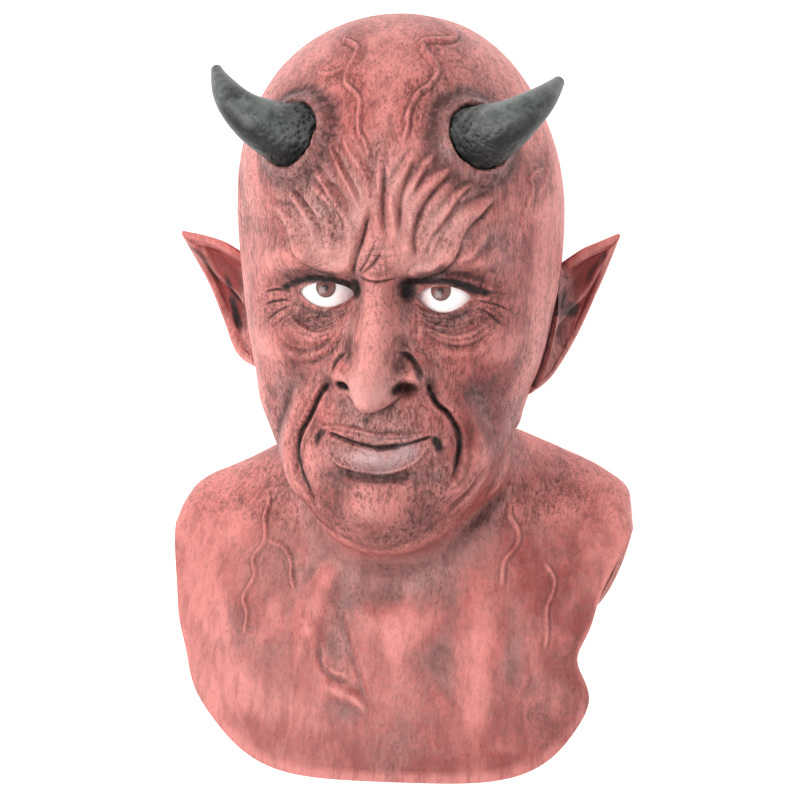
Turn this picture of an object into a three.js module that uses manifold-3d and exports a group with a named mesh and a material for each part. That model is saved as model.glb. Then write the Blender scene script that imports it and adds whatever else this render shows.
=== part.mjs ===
// A full-head latex devil mask lying on its back: one thin hollow skin with pointed ears and a chest
// and back bib, two dark horns seated in sockets on the forehead, and two domed eyes behind the lids.
// Millimetres. X runs across the face, Y from the chest to the crown, and Z up out of the face, so
// that the back of the head and the shoulder blades lie on the ground.
import * as THREE from "three";
import { mergeVertices, toCreasedNormals } from "three/addons/utils/BufferGeometryUtils.js";
import Module from "manifold-3d";

const wasm = await Module();
wasm.setup();

// Driving dimensions, with the middle of the head as the origin.
const CROWN_Y = 214;
const BIB_Y = -202;
const GROUND_Z = -114;
const WALL = 3;
const SEARCH_STEPS = 60;
const SKULL = { halfWidth: 90.5, front: 99, back: -117, y: 106, middleRise: 2, power: 2.1 };
const GAP = 0.35;
const WELD = 1e-3;
const BALL = { radius: 17, z: 65, lid: 2, flatBack: 3, rings: 6, sides: 20 };
const LID_BOW = { up: 0.55, down: 0.8 };
const LID_STEPS = 9;
const OPENING_DEPTH = 60;
const HORN = {
  base: 17.5,
  tip: 3.2,
  narrowing: 1.3,
  point: 0.8,
  sunk: 2.2,
  sides: 16,
  steps: 10,
  collar: 20.5,
  rim: 4,
  rise: 3.4,
};
const SWAY = { fromY: -112, top: -5, bottom: 4 };
// How far the sides of the bib draw in near these heights, left and right.
const WAISTS = [
  { y: -106, high: 32, cut: [4.6, 7] },
  { y: -137, high: 13, cut: [1.5, 8] },
  { y: -160, high: 14, cut: [-1.5, -2.5] },
];

// An ear's rim rolls up at so much of the way out. Its root turns back a little from lobe to top.
const EAR = {
  thick: 4.4,
  sunk: 1.8,
  cup: 9,
  roll: 2.6,
  rollAt: 0.82,
  rollWide: 0.14,
  rootTurn: [-0.04, 0.16],
  overlap: 2,
  along: 14,
  across: 4,
  tipAt: 0.72,
};
// The rim between lobe and point, and between point and top: how far out and up toward the point,
// how much of the belly is added, and the depth.
const EAR_FOOT = { lower: 80, upper: 88 };
const LOWER_RIM = [
  { out: 0.1, up: 0.06, belly: 0, z: -6 },
  { out: 0.32, up: 0.3, belly: 1, z: -26 },
  { out: 0.65, up: 0.62, belly: 0.5, z: -33 },
];
const UPPER_RIM = { out: 0.5, up: 0.25, z: -17 };

// The head is not quite upright: it leans to one side by so much near these heights.
const LEANS = [
  { y: 190, high: 45, x: -3.5, from: 0 },
  { y: 0, high: 15, x: -2.5, from: 0 },
  { y: -40, high: 15, x: 6.4, from: 6 },
];

// The two sides of the mask are alike, but not the same.
const SIDES = [
  {
    name: "left",
    sign: -1,
    eye: [29.6, 67.3],
    opening: { inner: 15.4, outer: 15, up: 6.2, down: 7.3 },
    horn: { base: [46.5, 150], bend: [27, 8, 30], tip: [87, 184, 80] },
    ear: { tip: [128.6, 91, -20], lobe: 20, top: 84, belly: 10.5, lobeOut: 9.5 },
  },
  {
    name: "right",
    sign: 1,
    eye: [33, 65.6],
    opening: { inner: 14.2, outer: 14.2, up: 6.6, down: 7.5 },
    horn: { base: [49.5, 149], bend: [26, 8, 29], tip: [91.5, 178, 70] },
    ear: { tip: [120.5, 92, -20], lobe: 9, top: 81, belly: 3, lobeOut: 0 },
  },
];

// Stations down the head from the temples to the edge of the bib. Each is a closed ring, given by
// half width, height and depth at the side, and by depth and height in front and behind. Full fills
// out the ring's corners, and level keeps its height flat across the front and the back.
const STATIONS = [
  { side: [90.5, 106, 0], front: [99, 108], back: [-117, 108], full: 0.02, level: 2 },
  { side: [88, 70, 0], front: [94, 68], back: [-115, 62], full: 0.04, level: 2 },
  { side: [82.5, 36, 4], front: [90, 28], back: [-102, 18], full: 0.05, level: 2.2 },
  { side: [77, 12, 10], front: [91, -9], back: [-86, -16], full: 0.04, level: 2.6 },
  { side: [72, -3, 12], front: [92, -44], back: [-73, -38], full: 0.02, level: 2.7 },
  { side: [68.5, -11, 8], front: [80, -69], back: [-67, -51], full: 0, level: 2.35 },
  { side: [64, -16, -6], front: [60, -77.5], back: [-65, -61], full: 0, level: 2.6 },
  { side: [66, -21, -26], front: [51, -88], back: [-70, -72], full: 0, level: 2.8 },
  { side: [82, -32, -42], front: [52, -103], back: [-84, -86], full: 0.04, level: 2.8 },
  { side: [106, -44, -41], front: [56, -131], back: [-101, -104], full: 0.12, level: 3.1 },
  { side: [124, -54, -27], front: [62, -168], back: [-114, -128], full: 0.18, level: 3.4 },
  { side: [130, -72, -6], front: [66, BIB_Y], back: [-118, -160], full: 0.2, level: 4.2 },
];
const LAST = STATIONS.length;

// Mounds and hollows of the face and chest, seen from in front: place, half size and height.
const MOUNDS = [
  { at: [0, 88], size: [13, 10], rise: 4 },
  { at: [26, 93], size: [18, 8], rise: 6.5, both: true },
  { at: [48, 86], size: [14, 9], rise: 5, both: true },
  { at: [14, 70], size: [8, 9], rise: -7, both: true },
  { at: [32, 66], size: [20, 12], rise: -10, both: true },
  { at: [31, 49], size: [15, 6], rise: 2.4, both: true },
  { at: [54, 40], size: [17, 15], rise: 5, both: true },
  { at: [58, 6], size: [15, 20], rise: -4.5, both: true },
  { at: [76, 96], size: [12, 22], rise: -3, both: true },
  { at: [0, -10], size: [33, 22], rise: 7 },
  { at: [0, -27], size: [20, 4.5], rise: -5 },
  { at: [0, -46], size: [17, 14], rise: 7.5 },
  { at: [40, -30], size: [11, 15], rise: 4, both: true },
  { at: [0, -100], size: [16, 12], rise: -5 },
];

// Folds and creases, also seen from in front: long ridges where the rise is positive.
const FOLDS = [
  // Brows drawn down to the root of the nose, and the furrows that fan up the forehead from them.
  { rise: 4.5, wide: 4.5, path: [[-58, 112], [-45, 102], [-33, 88], [-16, 86], [-12, 96]] },
  { rise: 4.5, wide: 4.5, path: [[57, 118], [46, 109], [36, 94], [23, 82], [13, 83]] },
  { rise: 3.2, wide: 3.2, path: [[-40, 128], [-26, 119], [-15, 108], [-12, 95]] },
  { rise: 3.2, wide: 3.2, path: [[-25, 147], [-18, 131], [-9, 116], [-8, 104]] },
  { rise: 3.2, wide: 3.2, path: [[48, 125], [36, 112], [27, 98]] },
  { rise: 3.4, wide: 3.4, path: [[39, 136], [24, 122], [17, 106], [16, 90]] },
  { rise: 3.2, wide: 3.2, path: [[21, 143], [12, 129], [8, 116], [12, 99]] },
  { rise: -2.6, wide: 2.6, path: [[-3, 112], [-7, 98], [-13, 77]] },
  { rise: -2.4, wide: 2.4, path: [[-36, 116], [-27, 103], [-20, 94]] },
  { rise: -2.4, wide: 2.4, path: [[45, 120], [35, 107], [25, 92]] },
  // Bags under the eyes, and the folds from the wings of the nose past the mouth.
  { rise: 2.4, wide: 4, both: true, path: [[-49, 55], [-42, 47], [-32, 44], [-22, 50]] },
  { rise: -2, wide: 3, both: true, path: [[-54, 46], [-45, 35], [-31, 35], [-19, 48]] },
  { rise: -4.5, wide: 3.6, both: true, path: [[-25, 24], [-33, 13], [-41, -5], [-43, -20], [-38, -36]] },
  { rise: 3, wide: 6, both: true, path: [[-31, 26], [-43, 12], [-52, -6], [-52, -24]] },
  // Lips.
  { rise: 3, wide: 3.4, path: [[-27, -6], [-14, -4.6], [0, -6], [14, -4.8], [27, -6]] },
  { rise: -5, wide: 2.4, path: [[-31, -6.5], [-16, -9.5], [0, -11], [16, -10.4], [32, -8]] },
  { rise: 5, wide: 6, path: [[-20, -14], [-9, -17.5], [1, -18.5], [11, -17.5], [21, -14]] },
  // Cords of the neck, and the hollow between them.
  { rise: 5, wide: 8, path: [[-29, -78], [-40, -105], [-46, -127], [-54, -149]] },
  { rise: 6, wide: 13, path: [[44, -82], [50, -114], [51, -150], [49, -183]] },
  { rise: -2.2, wide: 3, path: [[-28, -109], [-24, -122], [-20, -134], [-14, -152]] },
  { rise: -3, wide: 5, path: [[-33, -124], [-32, -136], [-27, -146]] },
];

// The nose, from its root between the brows to its hooked tip, with wings and nostrils.
const NOSE = {
  root: 80,
  tip: 19,
  bottom: 8,
  low: 5,
  high: 32,
  narrow: 8.8,
  wide: 11.2,
  hook: 4,
  climb: 0.8,
  square: 2.8,
};
const BULB = { at: [-1, 21], size: [11, 9], rise: 6.5 };
const WING = { at: [18.5, 25], size: [6.5, 7.5], rise: 14 };
const NOSTRIL = { at: [15.5, 18.6], size: [5.2, 3.6], rise: -13 };

// The mesh of the skin is a grid of columns round the head and rows down it. Cells are joined in
// squares where the form leaves their flat by less than the flatness.
const COLUMNS = 112;
const FACE_COLUMNS = 56;
const FACE_TURN = 1.1;
const ROWS = 128;
const FACE_ROWS = 56;
const FACE_STATIONS = [1, 6];
const LARGEST_CELL = 4;
const INNER_CELL = 4;
const FLATNESS = { face: 1.1, plain: 1.55 };
const FACE_DEPTH = 20;
const ABOVE_SHARE = 0.48;
const ABOVE_ROWS = Math.round(((ROWS - FACE_ROWS) * ABOVE_SHARE) / LARGEST_CELL) * LARGEST_CELL;

// The share of a fold's length over which it runs out at each end.
const TAPER = 0.15;

const clamp = THREE.MathUtils.clamp;
const mix = THREE.MathUtils.lerp;
const smooth = (from, to, v) => {
  const f = clamp((v - from) / (to - from), 0, 1);
  return f * f * (3 - 2 * f);
};
const bell = (d) => Math.exp(-d * d);
const larger = (a, b, blend) => (a + b + Math.hypot(a - b, blend)) / 2;

// A smooth curve through equally spaced values.
function through(values, s) {
  const k = clamp(Math.floor(s), 0, values.length - 2);
  const f = s - k;
  const [a, b, c, d] = [k - 1, k, k + 1, k + 2].map((i) => values[clamp(i, 0, values.length - 1)]);
  return b + 0.5 * f * (c - a + f * (2 * a - 5 * b + 4 * c - d + f * (3 * (b - c) + d - a)));
}

const RING = Object.fromEntries(
  Object.entries({
    halfWidth: (s) => s.side[0],
    sideY: (s) => s.side[1],
    sideZ: (s) => s.side[2],
    front: (s) => s.front[0],
    frontY: (s) => s.front[1],
    back: (s) => s.back[0],
    backY: (s) => s.back[1],
    full: (s) => s.full,
    level: (s) => s.level,
  }).map(([key, pick]) => [key, STATIONS.map(pick)]),
);

// The ring at t, which is 0 at the crown, 1 at the temples and LAST at the edge of the bib. Above
// the temples the skull closes as a superellipse.
function ring(t) {
  const s = Math.max(0, t - 1);
  const r = Object.fromEntries(Object.entries(RING).map(([key, values]) => [key, through(values, s)]));
  if (t >= 1) return r;
  const angle = (t * Math.PI) / 2;
  const open = Math.sin(angle) ** (2 / SKULL.power);
  const y = SKULL.y + (CROWN_Y - SKULL.y) * Math.cos(angle) ** (2 / SKULL.power);
  const middleY = y + SKULL.middleRise * open;
  return {
    ...r,
    halfWidth: SKULL.halfWidth * open,
    sideY: y,
    sideZ: 0,
    front: SKULL.front * open,
    frontY: middleY,
    back: SKULL.back * open,
    backY: middleY,
  };
}

// A point of the smooth head before any carving. The turn is 0 at the nose and half a turn behind.
function bare(turn, t) {
  const r = ring(t);
  const sin = Math.sin(turn);
  const cos = Math.cos(turn);
  const across = 1 - Math.abs(sin) ** r.level;
  const [endY, endZ] = cos > 0 ? [r.frontY, r.front] : [r.backY, r.back];
  const p = new THREE.Vector3(
    r.halfWidth * sin * (1 + r.full * cos * cos),
    mix(r.sideY, endY, across),
    r.sideZ + (endZ - r.sideZ) * Math.abs(cos) * (1 + r.full * sin * sin),
  );
  for (const lean of LEANS) {
    p.x += lean.x * bell((p.y - lean.y) / lean.high) * smooth(lean.from, lean.from + 1, t);
  }
  const cut = smooth(LAST - 4, LAST, t) * smooth(-0.1, 0.4, cos);
  for (const waist of WAISTS) {
    const depth = waist.cut[sin < 0 ? 0 : 1] * bell((p.y - waist.y) / waist.high);
    p.x -= cut * Math.sign(sin) * Math.min(Math.abs(p.x), depth);
  }
  p.x += cut * smooth(0, 0.5, cos) * mix(SWAY.top, SWAY.bottom, smooth(SWAY.fromY, BIB_Y, p.y));
  return p;
}

function bareNormal(turn, t) {
  const step = 0.02;
  const from = Math.max(2 * step, t);
  const round = bare(turn + step, from).sub(bare(turn - step, from));
  const down = bare(turn, Math.min(LAST, from + step)).sub(bare(turn, from - step));
  return down.cross(round).normalize();
}

const folds = FOLDS.flatMap((fold) => {
  const curve = new THREE.CatmullRomCurve3(fold.path.map(([x, y]) => new THREE.Vector3(x, y, 0)));
  const points = curve.getPoints(fold.path.length * 4);
  const mirrored = points.map((p) => new THREE.Vector3(-p.x, p.y, 0));
  return fold.both ? [{ ...fold, points }, { ...fold, points: mirrored }] : [{ ...fold, points }];
});

const segment = new THREE.Line3();
const foot = new THREE.Vector3();

// The height of one fold at a point, which tapers off toward both of its ends.
function foldHeight(fold, p) {
  let near = Infinity;
  let along = 0;
  const last = fold.points.length - 1;
  for (let i = 0; i < last; i++) {
    segment.set(fold.points[i], fold.points[i + 1]);
    const part = segment.closestPointToPointParameter(p, true);
    const d = segment.at(part, foot).distanceTo(p);
    if (d < near) {
      near = d;
      along = (i + part) / last;
    }
  }
  const taper = smooth(0, TAPER, along) * smooth(0, TAPER, 1 - along);
  return fold.rise * taper * bell(near / fold.wide);
}

const moundHeight = ({ at, size, rise, both }, x, y) =>
  rise * bell(Math.hypot(((both ? Math.abs(x) : x) - at[0]) / size[0], (y - at[1]) / size[1]));

// The nose stands straight out of the face, and its tip hangs down a little.
function noseHeight(x, y) {
  const down = clamp((NOSE.root - y) / (NOSE.root - NOSE.tip), 0, 1);
  const start = 1 - smooth(NOSE.root - 4, NOSE.root + 8, y);
  const under = clamp((NOSE.tip - y) / (NOSE.tip - NOSE.bottom), 0, 1);
  const crest = mix(NOSE.low, NOSE.high, down ** NOSE.climb) * start * Math.sqrt(1 - under * under);
  const side = Math.abs(x) / mix(NOSE.narrow, NOSE.wide, down);
  return crest * Math.exp(-(side ** NOSE.square));
}

// The carved outer face of the skin.
function carved(turn, t) {
  const p = bare(turn, t);
  const normal = bareNormal(turn, t);
  const front = smooth(0, 0.3, Math.cos(turn));
  if (front > 0) {
    const flat = new THREE.Vector3(p.x, p.y, 0);
    let rise = 0;
    for (const mound of MOUNDS) rise += moundHeight(mound, p.x, p.y);
    for (const fold of folds) rise += foldHeight(fold, flat);
    const nose = noseHeight(p.x, p.y);
    const bulb = moundHeight(BULB, p.x, p.y);
    const wings = moundHeight({ ...WING, both: true }, p.x, p.y);
    const nostrils = moundHeight({ ...NOSTRIL, both: true }, p.x, p.y);
    p.addScaledVector(normal, rise * front);
    p.z += nose + bulb + wings + nostrils;
    p.y -= NOSE.hook * (nose / NOSE.high) ** 2;
  }
  for (const side of SIDES) {
    seatEye(p, side);
    seatHorn(p, side);
  }
  p.z = Math.max(p.z, GROUND_Z);
  return p;
}

// The lids lie over the ball of the eye.
function seatEye(p, side) {
  const away = Math.hypot(p.x - side.sign * side.eye[0], p.y - side.eye[1]);
  const radius = BALL.radius + GAP + BALL.lid;
  if (p.z < 0 || away > radius) return;
  const dome = BALL.z + Math.sqrt(radius * radius - away * away);
  p.z = larger(p.z, dome, 1.5);
}

// The turn and station of the smooth skull at a place seen from in front, found step by step.
function placeOnSkull(x, y) {
  let turn = x / SKULL.halfWidth;
  let t = 0.7;
  for (let i = 0; i < SEARCH_STEPS; i++) {
    const p = bare(turn, t);
    turn += (x - p.x) / SKULL.halfWidth;
    t -= (y - p.y) / (CROWN_Y - SKULL.y);
  }
  return [turn, t];
}

const hornFrames = new Map(
  SIDES.map((side) => {
    const [turn, t] = placeOnSkull(...side.horn.base);
    const mirror = new THREE.Vector3(side.sign, 1, 1);
    const base = bare(turn, t).multiply(mirror);
    return [side, { base, up: bareNormal(turn, t).multiply(mirror) }];
  }),
);

// The forehead is level under a horn, and swells into a collar round it.
function seatHorn(p, side) {
  const { base, up } = hornFrames.get(side);
  const from = p.clone().sub(base);
  const height = from.dot(up);
  const away = Math.sqrt(Math.max(0, from.lengthSq() - height * height));
  if (height < -SKULL.halfWidth / 2 || away > HORN.collar + 3 * HORN.rim) return;
  const level = 1 - smooth(HORN.base - 2, HORN.collar + 6, away);
  const swell = HORN.rise * bell((away - HORN.collar) / HORN.rim);
  p.addScaledVector(up, -height * level + swell);
}

// Where the unit rows and columns of the grid lie.
function turnOf(column) {
  const half = COLUMNS / 2;
  const c = ((column + half + COLUMNS) % COLUMNS) - half;
  const face = FACE_COLUMNS / 2;
  const inside = (Math.min(Math.abs(c), face) / face) * FACE_TURN;
  const beyond = (Math.max(0, Math.abs(c) - face) / (half - face)) * (Math.PI - FACE_TURN);
  return Math.sign(c) * (inside + beyond);
}

function stationOf(row) {
  const [from, to] = FACE_STATIONS;
  if (row <= ABOVE_ROWS) return (row / ABOVE_ROWS) * from;
  const below = ABOVE_ROWS + FACE_ROWS;
  if (row <= below) return mix(from, to, (row - ABOVE_ROWS) / FACE_ROWS);
  return mix(to, LAST, (row - below) / (ROWS - below));
}

const grid = Array.from({ length: COLUMNS }, (_, column) =>
  Array.from({ length: ROWS + 1 }, (_, row) => carved(turnOf(column), stationOf(row))),
);
const cornerOf = (column, row) => grid[(column + COLUMNS) % COLUMNS][clamp(row, 0, ROWS)];

// How far the carving leaves the flat of one cell of the grid.
function bulge(column, row, size) {
  const a = cornerOf(column, row);
  const b = cornerOf(column, row + size);
  const c = cornerOf(column + size, row + size);
  const d = cornerOf(column + size, row);
  const normal = c.clone().sub(a).cross(d.clone().sub(b)).normalize();
  let most = 0;
  for (let i = 0; i <= size; i++) {
    for (let j = 0; j <= size; j++) {
      const near = a.clone().lerp(d, i / size);
      const far = b.clone().lerp(c, i / size);
      const flat = near.lerp(far, j / size);
      most = Math.max(most, Math.abs(cornerOf(column + i, row + j).clone().sub(flat).dot(normal)));
    }
  }
  return most;
}

function outerNeedsSplit(column, row, size) {
  const middle = cornerOf(column + Math.floor(size / 2), row + Math.floor(size / 2));
  const flatness = middle.z > FACE_DEPTH ? FLATNESS.face : FLATNESS.plain;
  return size > 1 && bulge(column, row, size) > flatness;
}

const innerNeedsSplit = (_column, _row, size) => size > INNER_CELL;

// The cells of the grid, each as the loop of its corners. A corner that a smaller neighbour has on a
// shared side is in the loop too, so that the cells close without a crack.
function cells(needsSplit) {
  const leaves = [];
  const split = (column, row, size) => {
    if (!needsSplit(column, row, size)) {
      leaves.push([column, row, size]);
      return;
    }
    const half = size / 2;
    for (const c of [column, column + half]) {
      for (const r of [row, row + half]) {
        split(c, r, half);
      }
    }
  };
  for (let column = 0; column < COLUMNS; column += LARGEST_CELL) {
    for (let row = 0; row < ROWS; row += LARGEST_CELL) {
      split(column, row, LARGEST_CELL);
    }
  }
  const key = (column, row) => (column % COLUMNS) + row * COLUMNS;
  const used = new Set();
  for (const [c, r, s] of leaves) {
    used.add(key(c, r)).add(key(c + s, r)).add(key(c, r + s)).add(key(c + s, r + s));
  }
  return leaves.map(([c, r, s]) => {
    const loop = [];
    for (let i = 0; i < s; i++) loop.push([c, r + i]);
    for (let i = 0; i < s; i++) loop.push([c + i, r + s]);
    for (let i = s; i > 0; i--) loop.push([c + s, r + i]);
    for (let i = s; i > 0; i--) loop.push([c + i, r]);
    return loop.filter(([column, row]) => used.has(key(column, row)));
  });
}

// Gathers triangles given by points.
class Faces {
  constructor() {
    this.positions = [];
  }
  triangle(a, b, c) {
    for (const p of [a, b, c]) this.positions.push(p.x, p.y, p.z);
  }
  // Fans a loop out from the corner that gives the widest triangles and the shortest spokes.
  polygon(points) {
    const count = points.length;
    const fan = (from) => {
      const at = (i) => points[(from + i) % count];
      return Array.from({ length: count - 2 }, (_, i) => [at(0), at(i + 1), at(i + 2)]);
    };
    const grade = (from) => {
      const areas = fan(from).map((corners) => new THREE.Triangle(...corners).getArea());
      const spokes = points.map((p) => p.distanceToSquared(points[from]));
      return Math.min(...areas) / Math.max(...spokes);
    };
    const grades = points.map((_, from) => grade(from));
    for (const corners of fan(grades.indexOf(Math.max(...grades)))) this.triangle(...corners);
  }
  geometry() {
    const attribute = new THREE.Float32BufferAttribute(this.positions, 3);
    return new THREE.BufferGeometry().setAttribute("position", attribute);
  }
}

function solidOf(geometry) {
  const plain = new THREE.BufferGeometry();
  plain.setAttribute("position", geometry.getAttribute("position"));
  plain.setIndex(geometry.index);
  const merged = mergeVertices(plain, WELD);
  const kept = [];
  const index = merged.index.array;
  for (let i = 0; i < index.length; i += 3) {
    const [a, b, c] = index.subarray(i, i + 3);
    if (a !== b && b !== c && a !== c) kept.push(a, b, c);
  }
  const vertProperties = merged.attributes.position.array;
  const triVerts = new Uint32Array(kept);
  return new wasm.Manifold(new wasm.Mesh({ numProp: 3, vertProperties, triVerts }));
}

function geometryOf(solid) {
  const mesh = solid.getMesh();
  return new THREE.BufferGeometry()
    .setAttribute("position", new THREE.BufferAttribute(new Float32Array(mesh.vertProperties), 3))
    .setIndex(new THREE.BufferAttribute(new Uint32Array(mesh.triVerts), 1));
}

// The inner face lies a wall's thickness inside the lowest carving near each of its corners.
const inward = new Map();
function innerCorner(column, row) {
  const c = row === 0 ? 0 : column % COLUMNS;
  const key = c + row * COLUMNS;
  if (inward.has(key)) return inward.get(key);
  const turn = turnOf(c);
  const t = stationOf(row);
  const base = bare(turn, t);
  const normal = row === 0 ? new THREE.Vector3(0, 1, 0) : bareNormal(turn, t);
  const reach = INNER_CELL;
  let depth = -Infinity;
  for (let dc = -reach; dc <= reach; dc++) {
    for (let dr = -reach; dr <= reach; dr++) {
      if (row + dr < 0 || row + dr > ROWS) continue;
      const here = cornerOf(c + dc, row + dr);
      const smoothHere = bare(turnOf(c + dc), stationOf(row + dr));
      depth = Math.max(depth, smoothHere.sub(here).dot(normal));
    }
  }
  const p = base.addScaledVector(normal, -depth - WALL);
  p.z = Math.max(p.z, GROUND_Z + WALL);
  if (row === ROWS) p.y = cornerOf(c, row).y;
  inward.set(key, p);
  return p;
}

function makeSkinShell() {
  const faces = new Faces();
  const outerCells = cells(outerNeedsSplit);
  const innerCells = cells(innerNeedsSplit);
  for (const loop of outerCells) faces.polygon(loop.map(([c, r]) => cornerOf(c, r)));
  for (const loop of innerCells) faces.polygon(loop.map(([c, r]) => innerCorner(c, r)).reverse());
  stitchRims(faces, outerCells, innerCells);
  return solidOf(faces.geometry());
}

// The cut edge of the bib joins the last row of the outer face to that of the inner face.
function stitchRims(faces, outerCells, innerCells) {
  const rim = (list) => {
    const columns = new Set(list.flat().filter(([, r]) => r === ROWS).map(([c]) => c % COLUMNS));
    return [...columns].sort((a, b) => a - b);
  };
  const outer = rim(outerCells);
  const inner = rim(innerCells);
  outer.push(COLUMNS);
  inner.push(COLUMNS);
  let [i, j] = [0, 0];
  while (i < outer.length - 1 || j < inner.length - 1) {
    const a = cornerOf(outer[i], ROWS);
    const b = innerCorner(inner[j], ROWS);
    if (j === inner.length - 1 || outer[i + 1] <= inner[j + 1]) {
      faces.triangle(a, b, cornerOf(outer[i + 1], ROWS));
      i += 1;
    } else {
      faces.triangle(a, b, innerCorner(inner[j + 1], ROWS));
      j += 1;
    }
  }
}

// A horn sweeps a round section along a bending line. It narrows evenly to a rounded tip. Extra
// grows it on every side.
function makeHorn(side, extra = 0) {
  const { base, up } = hornFrames.get(side);
  const mirror = new THREE.Vector3(side.sign, 1, 1);
  const start = base.clone().addScaledVector(up, -HORN.sunk - extra);
  const bend = new THREE.Vector3(...side.horn.bend).multiply(mirror).add(base);
  const tip = new THREE.Vector3(...side.horn.tip).multiply(mirror);
  const curve = new THREE.QuadraticBezierCurve3(start, bend, tip);
  const { tangents, normals, binormals } = curve.computeFrenetFrames(HORN.steps, false);
  const rings = curve.getSpacedPoints(HORN.steps).map((centre, i) => {
    const along = i / HORN.steps;
    const radius = mix(HORN.base, HORN.tip, along ** HORN.narrowing) + extra;
    return Array.from({ length: HORN.sides }, (_, k) => {
      const angle = (k / HORN.sides) * 2 * Math.PI;
      return centre
        .clone()
        .addScaledVector(normals[i], radius * Math.cos(angle))
        .addScaledVector(binormals[i], radius * Math.sin(angle));
    });
  });
  const faces = new Faces();
  const end = tip.clone().addScaledVector(tangents[HORN.steps], HORN.tip * HORN.point + extra);
  for (let k = 0; k < HORN.sides; k++) {
    const next = (k + 1) % HORN.sides;
    for (let i = 0; i < HORN.steps; i++) {
      faces.polygon([rings[i][k], rings[i][next], rings[i + 1][next], rings[i + 1][k]]);
    }
    faces.triangle(start, rings[0][next], rings[0][k]);
    faces.triangle(end, rings[HORN.steps][k], rings[HORN.steps][next]);
  }
  return solidOf(faces.geometry());
}

// An ear is a cupped leaf of latex between its root on the head and its rim, which runs from the
// lobe out to the point and back to the head.
function makeEar(side) {
  const { tip, lobe, top, belly, lobeOut } = side.ear;
  const rootAt = (u) => {
    const y = mix(lobe, top, u);
    let t = 2;
    for (let i = 0; i < SEARCH_STEPS; i++) {
      t += (ring(t).sideY - y) / SKULL.y;
    }
    const turn = Math.PI / 2 + mix(...EAR.rootTurn, u);
    return bare(turn, t).addScaledVector(bareNormal(turn, t), -EAR.sunk);
  };
  const lower = new THREE.CatmullRomCurve3([
    rootAt(0).add(new THREE.Vector3(EAR.overlap, -EAR.overlap, 0)),
    ...LOWER_RIM.map((place, i) => {
      const out = mix(EAR_FOOT.lower, tip[0], place.out) + place.belly * belly + (i === 0 ? lobeOut : 0);
      return new THREE.Vector3(out, mix(lobe, tip[1], place.up), place.z);
    }),
    new THREE.Vector3(...tip),
  ]);
  const upper = new THREE.CatmullRomCurve3([
    new THREE.Vector3(...tip),
    new THREE.Vector3(
      mix(EAR_FOOT.upper, tip[0], UPPER_RIM.out),
      mix(top, tip[1], UPPER_RIM.up),
      UPPER_RIM.z,
    ),
    rootAt(1).add(new THREE.Vector3(EAR.overlap, EAR.overlap, 0)),
  ]);
  const rimAt = (u) => {
    if (u < EAR.tipAt) return lower.getPoint(u / EAR.tipAt);
    return upper.getPoint((u - EAR.tipAt) / (1 - EAR.tipAt));
  };
  const middle = (u, v) => {
    const p = rootAt(u).lerp(rimAt(u), v);
    p.z -= EAR.cup * Math.sin(Math.PI * v) * Math.sin(Math.PI * u) ** 0.7;
    return p;
  };
  const shift = (u, v, towards) => {
    const e = 0.02;
    const a = middle(Math.min(1, u + e), v).sub(middle(Math.max(0, u - e), v));
    const b = middle(u, Math.min(1, v + e)).sub(middle(u, Math.max(0, v - e)));
    const normal = b.cross(a).normalize();
    const plain = EAR.thick * (0.5 + 0.5 * Math.sqrt(1 - v * v));
    const thick = plain + EAR.roll * bell((v - EAR.rollAt) / EAR.rollWide);
    return middle(u, v).addScaledVector(normal, (towards * thick) / 2);
  };
  const faces = new Faces();
  const at = (i, j, towards) => shift(i / EAR.along, j / EAR.across, towards);
  const mirror = new THREE.Vector3(side.sign, 1, 1);
  const add = (points) => faces.polygon(points.map((p) => p.multiply(mirror)));
  const turned = (points) => (side.sign > 0 ? points : points.reverse());
  for (let i = 0; i < EAR.along; i++) {
    for (let j = 0; j < EAR.across; j++) {
      add(turned([at(i, j, 1), at(i, j + 1, 1), at(i + 1, j + 1, 1), at(i + 1, j, 1)]));
      add(turned([at(i, j, -1), at(i + 1, j, -1), at(i + 1, j + 1, -1), at(i, j + 1, -1)]));
    }
    for (const [j, flip] of [[0, 1], [EAR.across, -1]]) {
      add(turned([at(i, j, flip), at(i + 1, j, flip), at(i + 1, j, -flip), at(i, j, -flip)]));
    }
  }
  for (let j = 0; j < EAR.across; j++) {
    for (const [i, flip] of [[0, -1], [EAR.along, 1]]) {
      add(turned([at(i, j, flip), at(i, j + 1, flip), at(i, j + 1, -flip), at(i, j, -flip)]));
    }
  }
  return solidOf(faces.geometry());
}

const ballCentre = (side) => new THREE.Vector3(side.sign * side.eye[0], side.eye[1], BALL.z);

// An eye is a ball cut flat behind.
function makeEye(side) {
  const { radius, flatBack, rings, sides } = BALL;
  const low = Math.asin(-flatBack / radius);
  const profile = [new THREE.Vector2(0, -flatBack)];
  for (let i = 0; i <= rings; i++) {
    const angle = mix(low, Math.PI / 2, i / rings);
    const away = i === rings ? 0 : radius * Math.cos(angle);
    profile.push(new THREE.Vector2(away, radius * Math.sin(angle)));
  }
  const geometry = new THREE.LatheGeometry(profile, sides).rotateX(Math.PI / 2);
  return solidOf(geometry.translate(...ballCentre(side)));
}

function makePocket(side) {
  const { radius, rings, sides } = BALL;
  const geometry = new THREE.SphereGeometry(radius + GAP, sides, rings * 2).rotateX(Math.PI / 2);
  return solidOf(geometry.translate(...ballCentre(side)));
}

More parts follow.
